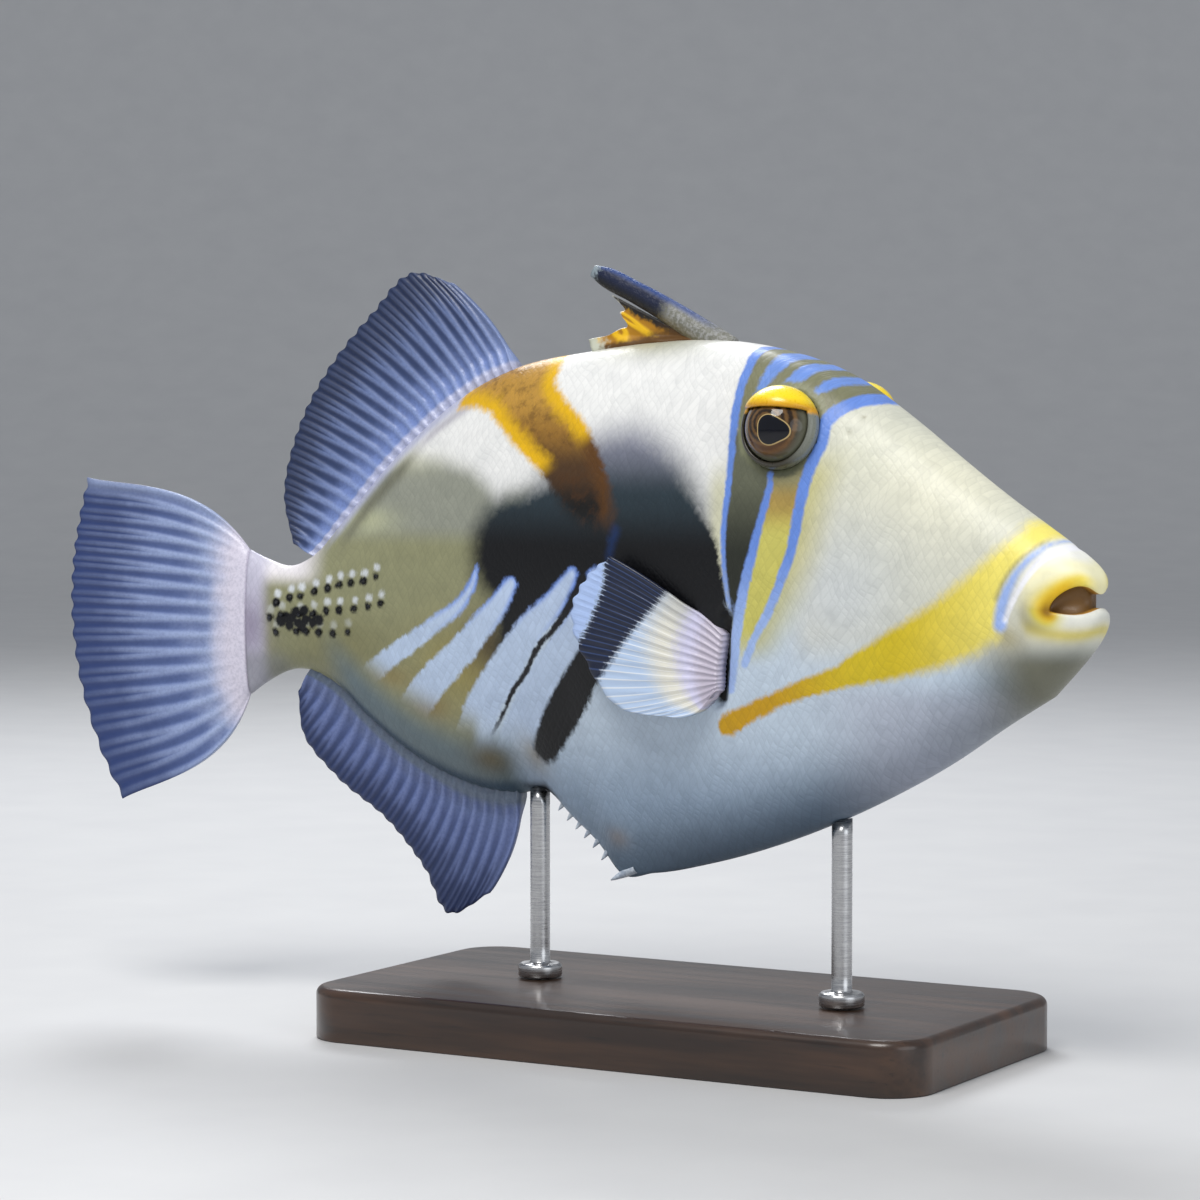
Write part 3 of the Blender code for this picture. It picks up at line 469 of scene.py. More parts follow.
def areaDistance(corners, station, height):
    # Distance in mm from the edge of an area, negative inside it
    corners = np.array(corners, float)
    nearest = np.full(len(station), 99.0)
    inside = np.zeros(len(station), bool)
    for (at, up), (nextAt, nextUp) in zip(corners, np.roll(corners, -1, axis=0)):
        stepAt, stepUp = nextAt - at, nextUp - up
        share = ((station - at) * stepAt + (height - up) * stepUp) / max(stepAt ** 2 + stepUp ** 2, 1e-9)
        share = np.clip(share, 0.0, 1.0)
        nearest = np.minimum(nearest, np.hypot(station - at - share * stepAt, height - up - share * stepUp))
        if stepUp:
            crossing = at + (height - up) / stepUp * stepAt
            inside ^= ((up > height) != (nextUp > height)) & (station < crossing)
    return np.where(inside, -nearest, nearest)


def spotsDistance(points, station, height):
    # Distance in mm from the nearest of the points
    points = np.array(points, float)
    return np.hypot(station[:, None] - points[:, 0], height[:, None] - points[:, 1]).min(1)


def within(distance, soft):
    # 1 inside an area and 0 outside it, with an edge this many mm wide
    return ease(0.5 - distance / soft)


# The skin
skin = {
    "around": 280,          # points round each ring
    "bodyRings": 300,
    "lipRings": 24,
    "gapeFront": -0.4,
    "cornerStation": 6.2,
    "cornerHeight": 84.5,
    "gapeHalfWidth": 6.3,
    "upperArch": 6.6,
    "upperBeak": 3.8,
    "lowerSag": 1.2,
    "lowerPeak": 1.6,
    "liningDepths": (1.9, 1.55, 1.2, 0.8, 0.4),
    "throat": (9.0, 85.6, 0.3),     # station and height the lining turns to, and how flat it turns
    "bulgeSide": 0.5, "bulgeUpper": 2.1, "bulgeLower": 2.2,
    "bulgePower": 0.74, "bulgeLean": 0.08,      # where along a lip it bulges most, and how up moves it
    "gill": [(69.6, 81.6), (70.3, 78.6), (70.8, 75.0), (71.5, 71.0), (72.4, 66.9)],
    "foldDepth": 0.5, "foldSoft": 0.6,
    "gillDepth": 1.7, "gillSoft": 0.7, "gillWidths": (1.2, 2.2),
    "nostrilDepth": 0.35, "nostrilSoft": 0.5,
    "socketRoom": 0.35,     # round an eye, on top of the gap
    "thornDot": 0.85, "thornLight": 0.8, "stainDot": 1.15,      # radii of painted dots
    "lightShift": (-0.3, 1.7),      # from a dark dot to the pale one ahead of and above it
    "scaleWide": 1.6,       # mm across a scale
    "scaleTall": 2.4,
}
eye = {
    "station": 59.1, "side": 12.4, "height": 115.7,
    "radius": 6.6, "halfDepth": 6.2,
    "axis": (-0.10, 0.97, 0.20),                # ahead, outwards and up
    "rings": 100, "around": 120,
    "rimInner": 72.0, "rimOuter": 102.0,        # degrees from the axis
    "rimThickness": 0.7, "lidEdge": 2.7,
    "rimProfile": [(0.0, 0.4), (0.1, 0.8), (0.3, 1.0), (0.65, 0.9), (1.0, 0.5)],
    "rimAround": 144, "rimRows": 22,
    "paintDepth": 9.0,                          # skin deeper than this belongs to the other eye
    "lidSwell": {"left": 1.7, "right": 0.45},   # the left lid shows over the forehead
}


def evenAngles(station, count):
    # Angles that lie evenly along each quarter of the section at a station
    dense = np.linspace(0.0, math.pi / 2, 181)
    share = (np.arange(count // 4) + 0.5) / (count // 4)
    found = []
    for quarter in range(4):
        turn = quarter * math.pi / 2
        side, height = sectionPoint(station, np.clip(dense, 1e-4, math.pi / 2 - 1e-4) + turn)
        run = np.concatenate([[0.0], np.cumsum(np.hypot(np.diff(side), np.diff(height)))])
        found.append(turn + np.interp(share * run[-1], run, dense))
    return np.concatenate(found)


def gapePoint(angle):
    # The gape's edge: the station falls with |cos|^3 and each lip arches with sin and dips with sin^6
    out, up = np.cos(angle), np.sin(angle)
    station = skin["gapeFront"] + (skin["cornerStation"] - skin["gapeFront"]) * np.abs(out) ** 3
    upper = skin["upperArch"] * up - skin["upperBeak"] * up ** 6
    lower = skin["lowerSag"] * up + skin["lowerPeak"] * up ** 6
    return station, skin["gapeHalfWidth"] * out, skin["cornerHeight"] + np.where(up > 0, upper, lower)


def skinRings():
    # Mouth lining, lips and body sections as station, side and height, and for each point how many mm
    # it lies from the gape's edge, negative in the lining, with the sine of its angle
    first = body["back"][0][0]
    angle = evenAngles(first, skin["around"])
    station, side, height = gapePoint(angle)
    throatStation, throatHeight, flatness = skin["throat"]
    inward = unit(np.stack([throatStation - station, -side, (throatHeight - height) * flatness], -1))
    rings = [np.stack([station, side, height], -1) + inward * depth for depth in skin["liningDepths"]]
    outerSide, outerHeight = sectionPoint(first, angle)
    up = np.sin(angle)
    bulge = skin["bulgeSide"] + np.where(up > 0, skin["bulgeUpper"], skin["bulgeLower"]) * np.abs(up)
    width = np.sqrt((first - station) ** 2 + (outerSide - side) ** 2 + (outerHeight - height) ** 2)
    lipShares = np.arange(skin["lipRings"]) / skin["lipRings"]
    for share in lipShares:
        forward = bulge * np.sin(math.pi * share ** (skin["bulgePower"] + skin["bulgeLean"] * up))
        rings.append(np.stack([(1 - share) * station + share * first - forward,
                               (1 - share) * side + share * outerSide,
                               (1 - share) * height + share * outerHeight], -1))
    stations = np.linspace(first, body["end"], skin["bodyRings"])
    for at in stations:
        side, height = sectionPoint(at, evenAngles(at, skin["around"]))
        rings.append(np.stack([np.full_like(side, at), side, height], -1))
    lining = np.repeat(-np.array(skin["liningDepths"])[:, None], len(up), 1)
    outward = np.concatenate([lining, lipShares[:, None] * width, width + (stations - first)[:, None]])
    return np.array(rings), outward.reshape(-1), np.broadcast_to(up, outward.shape).reshape(-1)


def eyeFrame(side):
    # The eye's middle, its axis outwards, the way forwards and the way up
    centre = place(eye["station"], side * eye["side"], eye["height"])
    ahead, out, up = eye["axis"]
    tip = place(eye["station"] + ahead, side * (eye["side"] + out), eye["height"] + up)
    axis = unit(tip - centre)
    upright = unit(np.array([0.0, 0.0, 1.0]) - axis * axis[2])
    level = np.cross(axis, upright) * side
    return centre, axis, level, upright


def sinkSockets(spots, grown):
    # Vertices inside an eye's ellipsoid move along its axis onto its inner face; also gives how far
    # each vertex lies from the nearer eye's axis in mm
    around = np.full(len(spots), 99.0)
    for side in (1, -1):
        centre, axis = eyeFrame(side)[:2]
        away = (spots - centre) / mm
        deep = away @ axis
        wide = np.linalg.norm(away - deep[..., None] * axis, axis=-1)
        around = np.where(deep > -eye["paintDepth"], np.minimum(around, wide), around)
        room = 1 - (wide / (eye["radius"] + grown)) ** 2
        floor = -(eye["halfDepth"] + grown) * np.sqrt(np.clip(room, 0.0, 1.0))
        sink = np.where((room > 0) & (deep > floor), floor - deep, 0.0)
        spots = spots + sink[..., None] * axis * mm
    return spots, around


def skinColours(station, height, away, up):
    # The broad colours with painted shade under the head, belly and tail stalk, laid over one another with
    # soft edges
    colour = np.tile(toLight((0.78, 0.84, 0.90)), (len(station), 1))
    rise = height - bellyLine(station)
    drop = backLine(station) - height

    def lay(tone, share):
        nonlocal colour
        share = np.clip(share, 0.0, 1.0)[:, None]
        colour = colour * (1 - share) + toLight(tone) * share

    def past(value, start, soft):
        # 0 before the start, 1 once the value is soft mm beyond it; a negative soft counts downwards
        return ease((value - start) / soft)

    def spot(at, up, wide, tall):
        return np.exp(-((station - at) / wide) ** 2 - ((height - up) / tall) ** 2)

    def ridge(value, middle, wide):
        return np.exp(-((value - middle) / wide) ** 2)

    front = np.interp(height, *np.array(blueLines["front"]["points"][::-1])[:, ::-1].T)
    ahead = front - station
    lay((0.62, 0.70, 0.79), past(height, 64, -20))                  # belly, darker downwards as painted shade
    # painted shade, darkest low on the belly ahead of the vent
    lay((0.35, 0.42, 0.49), past(rise, 15, -15) * past(station, 112, -12) * 0.9)
    lay((0.93, 0.93, 0.92), past(height, 84, 10))                   # upper body
    lay((0.83, 0.83, 0.77), past(station, 58, -8) * past(height, 72, 8))    # cheek
    lay((0.90, 0.89, 0.80), spot(28, 106, 16, 11))                  # snout
    lay((0.66, 0.66, 0.53), spot(95, 131.6, 13, 2.8) * 0.75)        # painted shade at the foot of the spine, olive
    lay((0.82, 0.84, 0.85), spot(46, 86, 13, 13) * 0.8)
    lay((0.86, 0.86, 0.78), spot(45, 110, 8, 6) * 0.6)
    # painted shade under the head, growing darker towards the chin
    lay((0.70, 0.72, 0.78), past(station, 58, -22) * past(height, 73, -7) * 0.7)
    lay((0.50, 0.52, 0.54), past(station, 36, -24) * past(height, 70, -10) * 0.9)
    lay((0.44, 0.44, 0.38), past(station, 24, -15) * past(height, 80.5, -6))   # chin, dark as painted shade
    lay((0.76, 0.73, 0.40), past(ahead, 9, -9) * past(ahead, -1, 2) * past(height, 114, -8)
        * past(height, 72, 6) * 0.75)                               # glow ahead of the bands
    lay((0.76, 0.75, 0.58), past(station, 69, 1.5) * past(station, 75.5, -4) * past(height, 112, -8)
        * past(height, 84, 6) * 0.7)

    # the flank behind the dark zone
    rear = within(areaDistance(rearFlank, station, height), 3.0)
    lay((0.56, 0.56, 0.43), rear)
    lay((0.60, 0.55, 0.31), rear * spot(131, 70, 12, 8) * 0.8)
    lay((0.49, 0.48, 0.34), rear * spot(160, 73, 14, 6) * 0.8)
    lay((0.33, 0.28, 0.18), rear * spot(124, 75, 6, 6) * 0.9)
    lay((0.52, 0.44, 0.26), rear * spot(139.5, 62, 4.5, 2.8) * 0.7)
    lay((0.56, 0.49, 0.30), rear * spot(148.5, 67.5, 4.5, 2.2) * 0.6)
    lay((0.57, 0.58, 0.53), within(areaDistance(greyPatch, station, height), 5.0))
    lay((0.74, 0.75, 0.60), spot(156, 97.5, 8, 2.6) * 0.75)
    lay((0.82, 0.82, 0.70), spot(147, 109, 9, 2.2) * 0.5)
    lay((0.42, 0.42, 0.35), past(station, 142, 6) * ridge(drop, 6.0, 2.2) * past(station, 164, -6) * 0.8)
    lay((0.74, 0.75, 0.84), past(station, 127, 5) * past(drop, 4.6, -3) * past(station, 167, -5) * 0.9)
    # mauve painted shadow along the foot of the soft dorsal fin
    lay((0.62, 0.60, 0.66), ridge(drop, 4.4, 1.2) * past(station, 129, 4) * past(station, 146, -5) * 0.6)
    # painted shade low on the rear flank
    lay((0.40, 0.46, 0.48), past(station, 119, 6) * past(rise, 15, -9) * past(station, 168, -10))
    lay((0.36, 0.31, 0.17), spot(127, 52.5, 5, 3.2) * 0.8)
    lay((0.55, 0.48, 0.34), spot(117, 54, 3, 4) * 0.6)
    # painted shade along the foot of the anal fin
    lay((0.26, 0.33, 0.38), past(station, 120, 5) * past(rise, 3.8, -2.4) * past(station, 166, -6))
    lay((0.62, 0.52, 0.40), spot(101, 38.5, 2.5, 2.0) * 0.4)
    lay((0.07, 0.08, 0.11), within(areaDistance(ventPatch, station, height), 2.4))

    # the tail stalk
    lay((0.94, 0.92, 0.93), past(station, 164, 9) * past(height, 83.5, 4))
    lay((0.80, 0.79, 0.86), past(station, 178, 4))
    # painted shade low on the stalk's end, mauve and then grey
    lay((0.55, 0.51, 0.60), spot(183.5, 76, 4.5, 7) * 0.8)
    lay((0.48, 0.49, 0.50), past(station, 172, 6) * past(height, 73, -4) * 0.6)

    # the lips, their tones set by the distance from the gape's edge
    lips = past(station, 12.6, -3.4)
    lay((0.96, 0.94, 0.78), lips * past(up, -0.12, 0.3))
    lay((0.97, 0.97, 0.96), lips * past(away, 6.0, 3.0) * past(up, 0.2, 0.3) * 0.8)
    lay((0.94, 0.86, 0.38), lips * past(away, 5.0, -2.8) * past(up, -0.1, 0.2) * past(up, 1.08, -0.3))
    lay((0.88, 0.88, 0.84), lips * past(up, -0.15, -0.3) * past(away, 4.4, -1.2))
    lay((0.84, 0.77, 0.32), lips * past(up, 0.0, -0.25) * ridge(away, 4.5, 1.5) * 0.8)
    lay((0.84, 0.80, 0.36), lips * past(up, -0.62, 0.4) * past(up, 0.1, -0.1) * past(away, 4.4, -1.5))
    lay((0.91, 0.73, 0.12), past(away, 3.9, -2.6) * past(up, -0.42, 0.2) * past(up, 0.90, -0.40))
    lay((0.56, 0.41, 0.08), past(away, 2.9, -1.8) * ridge(up, -0.05, 0.24))
    lay((0.54, 0.51, 0.34), ridge(away, 4.4, 1.2) * ridge(up, -0.1, 0.3) * 0.6)
    lay((0.60, 0.55, 0.32), spot(13.6, 79.6, 3.4, 2.4) * 0.6)
    return colour


def makeSkin(material):
    # Skin with the mouth's fold, the gill slit, nostrils and eye sockets sunk in; it carries the
    # distances to the markings for its material
    rings, away, up = skinRings()
    station, side, height = (rings[..., k].reshape(-1) for k in range(3))
    spot = station, height
    fold = lineDistance({"points": foldLine["points"], "widths": (0.2, 0.2)}, *spot)
    gill = lineDistance({"points": skin["gill"], "widths": skin["gillWidths"]}, *spot)
    nostril = spotsDistance(nostrils, *spot)
    dip = skin["foldDepth"] * np.exp(-(np.maximum(fold, 0) / skin["foldSoft"]) ** 2)
    dip *= ease((station - 1) / 4)
    dip += skin["gillDepth"] * np.exp(-(np.maximum(gill, 0) / skin["gillSoft"]) ** 2)
    dip += skin["nostrilDepth"] * np.exp(-(nostril / skin["nostrilSoft"]) ** 2)
    side = np.sign(side) * np.maximum(np.abs(side) - dip, 0.0)
    spots, around = sinkSockets(place(station, side, height), gap + skin["socketRoom"])
    thing = buildRings("skin", spots.reshape(rings.shape), material)
    keepColour(thing, "ground", skinColours(station, height, away, up))
    folds = [np.where(away >= 0.0, lineDistance(line, *spot), 9.0) for line in (foldLine, foldBlue)]
    thorn = np.minimum(spotsDistance(thornSpots, *spot) - skin["thornDot"],
                       spotsDistance(thornStain, *spot) - skin["stainDot"])
    above = np.array(thornSpots) + skin["lightShift"]
    distances = {
        "headLines": (linesDistance(blueLines, *spot), linesDistance(oliveLines, *spot),
                      areaDistance(cheekBand, *spot)),
        "headAreas": [areaDistance(area, *spot) for area in (crown, darkBand, yellowBand)],
        "foldLines": (*folds, gill),
        "bodyLines": (linesDistance(whiteStripes, *spot), lineDistance(thinLine, *spot),
                      areaDistance(darkZone, *spot)),
        "thornDots": (thorn, spotsDistance(above, *spot) - skin["thornLight"], around),
        "details": (away, lineDistance(foldShade, *spot), lineDistance(blueStreak, *spot)),
        "patches": (areaDistance(saddle, *spot), station, height),
        "belly": (height - bellyLine(station), nostril),
    }
    for name, values in distances.items():
        keepNumbers(thing, name, *values)
    return thing


def skinMaterial():
    paint = Paint("triggerfishSkin")
    blue, olive, cheek = paint.numbers("headLines")
    crownEdge, darkEdge, yellowEdge = paint.numbers("headAreas")
    fold, foldEdge, gill = paint.numbers("foldLines")
    stripes, thin, dark = paint.numbers("bodyLines")
    thorn, thornLight, around = paint.numbers("thornDots")
    away, shade, streak = paint.numbers("details")
    saddleEdge, station, height = paint.numbers("patches")
    rise, nostril = paint.numbers("belly")[:2]

    # Scales as a lattice of diamonds in station and height, pushed about by a slow wave
    slow = (paint.noise(130.0, 1.0, 0.5) - 0.5) * 5.0
    across = (station + slow) / skin["scaleWide"]
    along = (height - slow) / skin["scaleTall"]
    first, second = across + along, across - along
    domes = [(way.calc("FRACT") - 0.5).calc("ABSOLUTE") for way in (first, second)]
    seam = domes[0].calc("MAXIMUM", domes[1])
    chance = (first.calc("FLOOR") * 12.9 + second.calc("FLOOR") * 78.2).calc("SINE")   # one for each scale
    chance = (chance * 437.5).calc("FRACT")
    onScales = station.fade(7.0, 16.0)
    wander = (paint.noise(900.0, 3.0, 0.6) - 0.5) * 1.6 + (chance - 0.5) * 0.5
    colour = Value(paint.tree, paint.stored("ground", "Color"))

    def over(edge, rough, soft, tone, strength=1.0):
        # Lays a tone where the distance is below zero, with a wandering edge
        nonlocal colour
        colour = ((edge + wander * rough) / soft).fade(-1.0, 1.0, strength, 0.0).mix(colour, tone)

    # the dark zone, soft at its top and rear
    darkTone = height.fade(93.0, 104.0).mix((0.035, 0.04, 0.06), (0.17, 0.22, 0.25))
    darkTone = height.fade(103.0, 115.0).mix(darkTone, (0.50, 0.51, 0.57))
    rearSoft = station.fade(115.0, 125.0, 0.0, 3.6)
    over(dark, 1.0, height.fade(94.0, 107.0, 0.7, 4.8).calc("MAXIMUM", rearSoft), darkTone)
    over(streak, 0.6, 1.2, (0.10, 0.22, 0.42), 0.7)

    # the saddle: yellow edges high up, an orange hem down its front and dark at its foot
    tone = height.fade(101.0, 108.0).mix((0.08, 0.07, 0.06), (0.30, 0.21, 0.12))
    tone = height.fade(108.0, 116.0).mix(tone, (0.58, 0.42, 0.17))
    tone = height.fade(114.0, 122.0).mix(tone, (0.74, 0.56, 0.24))
    tone = paint.noise(420.0, 3.0, 0.7).fade(0.45, 0.7, 0.0, 0.5).mix(tone, (0.30, 0.19, 0.08))
    rim = (saddleEdge + wander * 1.2).fade(-4.6, -1.2)
    front = height - (station - 96.0) * 2.0
    tone = (rim * front.fade(92.0, 98.0) * 0.8).mix(tone, (0.36, 0.23, 0.08))
    slope = height + (station - 100.0) * 0.7
    tone = (rim * slope.fade(113.0, 118.0)).mix(tone, (0.90, 0.70, 0.06))
    over(saddleEdge, 0.9, height.fade(98.0, 108.0, 2.4, 0.9), tone, height.fade(94.0, 101.0))

    # the stripes, blue at their heads and lost in the grey over the belly
    tone = stripes.fade(-1.2, 0.1).mix((0.74, 0.81, 0.92), (0.46, 0.59, 0.89))
    tone = height.fade(86.0, 74.0).mix(tone, (0.73, 0.80, 0.90))
    lost = (rise - station.fade(120.0, 132.0, 0.0, 3.0)).fade(7.5, 16.0)
    over(stripes, 0.7, 0.5, tone, lost)
    over(thin, 0.5, 0.25, (0.09, 0.09, 0.11), lost)

    # the head
    tone = station.fade(10.0, 36.0).mix((0.97, 0.91, 0.46), (0.84, 0.74, 0.14))
    tone = station.fade(40.0, 64.0).mix(tone, (0.80, 0.61, 0.07))
    over(cheek, 0.7, station.fade(16.0, 50.0, 1.8, 0.6), tone)
    # painted shadow behind the mouth's fold
    over(shade, 0.3, 0.7, (0.46, 0.45, 0.34), 0.7)
    over(foldEdge, 0.3, 0.7, (0.62, 0.72, 0.93))
    over(fold, 0.2, 0.5, (0.96, 0.96, 0.98))
    tone = height.fade(98.0, 107.0).mix((0.80, 0.77, 0.40), (0.56, 0.54, 0.40))
    warm = height.fade(96.0, 102.0) * height.fade(107.0, 103.0)
    over(yellowEdge, 0.3, 0.8, (warm * 0.7).mix(tone, (0.66, 0.52, 0.26)), height.fade(71.0, 80.0))
    over(darkEdge, 0.3, 0.6, height.fade(92.0, 110.0).mix((0.17, 0.18, 0.15), (0.40, 0.41, 0.34)))
    over(crownEdge, 0.3, 0.5, (0.43, 0.57, 0.86))
    over(olive, 0.8, 0.5, (0.48, 0.48, 0.37))
    # olive ring round the eye, dark below it as painted shadow under the eye
    tone = height.fade(104.0, 112.0).mix((0.28, 0.28, 0.22), (0.50, 0.51, 0.40))
    over(around - oliveRing, 0.6, 0.5, tone)
    over(blue, 0.4, 0.35, height.fade(96.0, 76.0).mix((0.41, 0.55, 0.86), (0.64, 0.74, 0.93)))
    # black in the gill slit as painted shade
    over(gill, 0.3, 0.5, (0.05, 0.04, 0.03))
    # nostrils darkened as painted shade in their pits
    over(nostril - 0.3, 0.3, 0.4, (0.56, 0.53, 0.43), 0.6)

    # the thorn rows and the mouth
    over(thornLight, 0.5, 0.5, (0.84, 0.86, 0.88), height.fade(79.5, 82.5, 0.3, 0.9))
    over(thorn, 0.6, 0.4, (0.03, 0.035, 0.06))
    # brown lining, darker deeper into the mouth as painted shade
    lining = away.fade(-1.8, -0.4).mix((0.44, 0.32, 0.17), (0.70, 0.51, 0.22))
    colour = away.fade(0.1, -0.3).mix(colour, lining)

    grain = paint.noise(2600.0, 2.0, 0.6)
    colour = (seam.fade(0.34, 0.5) * (onScales * 0.07)).mix(colour, (0.36, 0.38, 0.42), "MULTIPLY")
    colour = (chance * (onScales * 0.12)).mix(colour, (0.62, 0.64, 0.66), "MULTIPLY")
    cloud = paint.noise(300.0, 3.0, 0.6).fade(0.4, 0.75, 0.0, 0.12)
    colour = cloud.mix(colour, (0.60, 0.62, 0.64), "MULTIPLY")
    normal = paint.bump(grain, 0.2, 0.1, paint.bump(seam.fade(0.5, 0.2) * onScales, 0.14, 0.2))
    return paint.finish(colour, grain.fade(0.3, 0.7, 0.36, 0.50), normal, specular=0.35, coat=0.08,
                        coatRoughness=0.2)


skinPiece = makeSkin(skinMaterial())
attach(skinPiece, "root")
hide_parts("head", "torso", "tail_stalk", "pelvic_flap")
print("skin made")


# The fins: margins as (share, station, height), share running from the first ray to the last, with
# half thicknesses on a ray, between rays and at the root, and how deep they sit in the body
softFin = {"web": 0.28, "sunk": 3.0, "notch": 0.02}
dorsalFin = {
    **softFin, "rays": 24, "ray": 0.75, "root": 1.5, "rootDepth": 4.5, "bow": (1.2, 0.0),
    "margin": [(0.0, 139.5, 143.4), (0.12, 148.3, 145.7), (0.3, 157.8, 137.8), (0.5, 168.2, 126.0),
               (0.7, 174.8, 113.4), (0.87, 177.2, 101.6), (1.0, 175.2, 92.6)],
    "roots": (125.4, 170.8),
}
analFin = {
    **softFin, "rays": 21, "ray": 0.75, "root": 1.5, "rootDepth": 4.5, "bow": (-1.6, 0.0),
    "margin": [(0.0, 131.5, 25.6), (0.13, 140.4, 20.8), (0.3, 146.4, 29.6), (0.5, 154.6, 38.6),
               (0.72, 166.0, 46.8), (0.88, 173.2, 55.0), (1.0, 174.2, 63.2)],
    "roots": (124.4, 171.2),
}
pectoralFin = {
    **softFin, "rays": 13, "ray": 0.55, "root": 1.3, "rootDepth": 5.0, "bow": (0.6, -0.6),
    "margin": [(0.0, 93.5, 92.4), (0.2, 98.6, 88.2), (0.4, 101.6, 82.0), (0.6, 99.4, 74.0),
               (0.8, 92.0, 64.6), (1.0, 79.3, 63.0)],
    "rootLine": [(0.0, 72.3, 80.2), (0.5, 73.9, 72.6), (1.0, 73.9, 65.5)],
    "navyZone": [(81, 86.5), (84.2, 83.2), (87.8, 79.8), (90.6, 76.7), (93.4, 73.1), (97.3, 68.2),
                 (101, 62), (106, 62), (102.2, 73), (98.2, 78.6), (95.6, 84), (94.2, 88), (94, 97),
                 (81, 97)],
    "tuck": 1.2,            # into the body at the root
    "rise": 2.6,            # out of it over the first riseLength mm
    "riseLength": 8.0,
    "spread": 0.10,         # outwards for each mm along the paddle
}
spinyWeb = {
    "rays": 4, "ray": 0.6, "web": 0.35, "root": 1.1, "rootDepth": 2.5, "sunk": 2.5, "notch": 0.14,
    "bow": (0.0, 0.0),
    "margin": [(0.0, 104.4, 140.6), (0.3, 102.8, 137.4), (0.55, 101.6, 134.9), (0.8, 104.8, 133.6),
               (1.0, 109.4, 132.3)],
    "roots": (86.5, 108.0),
}
tailFin = {
    "rays": 17, "ray": 0.83, "web": 0.28, "rootDepth": 14.0, "notch": 0.015, "edgeBow": 5.6, "swing": 3.0,
    "margin": [(0.0, 219.9, 105.4), (0.15, 222.0, 97.0), (0.35, 223.6, 86.6), (0.55, 223.6, 74.5),
               (0.75, 221.0, 60.5), (0.9, 216.4, 48.2), (1.0, 212.3, 40.7)],
}
rootLift = 0.6          # mm off the back or belly
rayTaper = 0.55         # a ray loses this share of its thickness by its end
samplesPerRay = 12
finRows = 56


def marginCurve(points):
    # Station and height as smooth curves over the share
    share, stations, heights = zip(*points)
    station, height = (smoothCurve(list(zip(share, values))) for values in (stations, heights))
    return lambda where: np.stack([station(where), height(where)], -1)


def rayRidge(share, along, rays):
    # 1 on a ray and 0 between rays; each ray parts into two branches towards its end
    away = share * (rays - 1)
    away = away - np.round(away)
    branch = 0.21 * ease((along - 0.35) / 0.45)
    narrow = 0.30 - 0.12 * ease((along - 0.35) / 0.45)
    nearest = np.minimum(np.abs(away - branch), np.abs(away + branch))
    return np.exp(-(nearest / narrow) ** 2 * 1.4)


def closeSheet(name, fin, share, along, spot, half, middle, material):
    # Both faces of a sheet joined round its edge, which is thinned: rings run down one face and back up
    # the other
    half = half * (1 - 0.75 * ease((along - 0.95) / 0.05))
    left = place(spot[..., 0], middle + half, spot[..., 1])
    right = place(spot[..., 0], middle - half, spot[..., 1])
    thing = buildRings(name, np.concatenate([left, right[:, ::-1]], 1), material)
    ridge = rayRidge(share, along, fin["rays"])
    navy = 0.0
    if "navyZone" in fin:
        navy = areaDistance(fin["navyZone"], *spot.reshape(-1, 2).T).reshape(along.shape)
    for stored, values in (("fin", (share, along, ridge)),
                           ("finPlace", (spot[..., 0], spot[..., 1], navy))):
        values = np.stack(np.broadcast_arrays(*values))
        keepNumbers(thing, stored, *np.concatenate([values, values[:, :, ::-1]], 2))
    return thing


def spreadRays(fin, roots, crowding):
    # Shares from the first ray to the last, roots, and how the rays reach from root to tip; the rows
    # crowd towards the root
    share = np.linspace(0.0, 1.0, (fin["rays"] - 1) * samplesPerRay + 1)[:, None]
    root = roots(share[:, 0])
    reach = marginCurve(fin["margin"])(share[:, 0]) - root
    length = np.hypot(reach[:, 0], reach[:, 1])[:, None]
    across = np.stack([-reach[:, 1], reach[:, 0]], -1) / length
    along = np.tile((np.arange(finRows + 1) / finRows) ** crowding, (len(share), 1))
    return share, along, root[:, None], reach[:, None], length, across[:, None]


def notched(fin, share, along):
    # The margin dips between two rays
    onRay = np.cos(2 * math.pi * share * (fin["rays"] - 1)) * 0.5 + 0.5
    return along * (1.0 - fin["notch"] * (1 - onRay) * ease((along - 0.8) / 0.2))


def makeVane(name, fin, roots, sway, material):
    # Points = root + reach * along + bow * 4 along (1 - along), the rays raised on both faces; four more
    # rows are sunk into the body
    share, along, root, reach, length, across = spreadRays(fin, roots, 1.1)
    sunk = np.linspace(-1.0, 0.0, 5)[:-1]
    along = np.concatenate([sunk[None, :] * fin["sunk"] / length, along], 1)
    run = notched(fin, share, along)[..., None]
    bow = fin["bow"][0] + (fin["bow"][1] - fin["bow"][0]) * share
    spot = root + reach * run + across * (bow[..., None] * 4 * run * (1 - run))
    taper = 1 - rayTaper * np.maximum(along, 0)
    half = fin["web"] + (fin["ray"] - fin["web"]) * taper * rayRidge(share, along, fin["rays"])
    half = half + (fin["root"] - fin["web"]) * (1.0 - ease(along * length / fin["rootDepth"]))
    return closeSheet(name, fin, share, along, spot, half, sway(along * length), material)


def rootsOnLine(fin, edge, lift):
    # Roots between two stations of the back or belly line, lifted off it
    first, last = fin["roots"]

    def read(share):
        station = first + (last - first) * share
        return np.stack([station, edge(station) + lift], -1)

    return read


def straight(distance):
    return np.zeros_like(distance)


def pectoralSway(side):
    # The paddle leaves the body's side and stands away from it towards its end
    out = halfWidth(pectoralFin["rootLine"][1][1]) - pectoralFin["tuck"]

    def read(distance):
        return side * (out + pectoralFin["rise"] * ease(distance / pectoralFin["riseLength"])
                       + pectoralFin["spread"] * np.maximum(distance, 0.0))

    return read


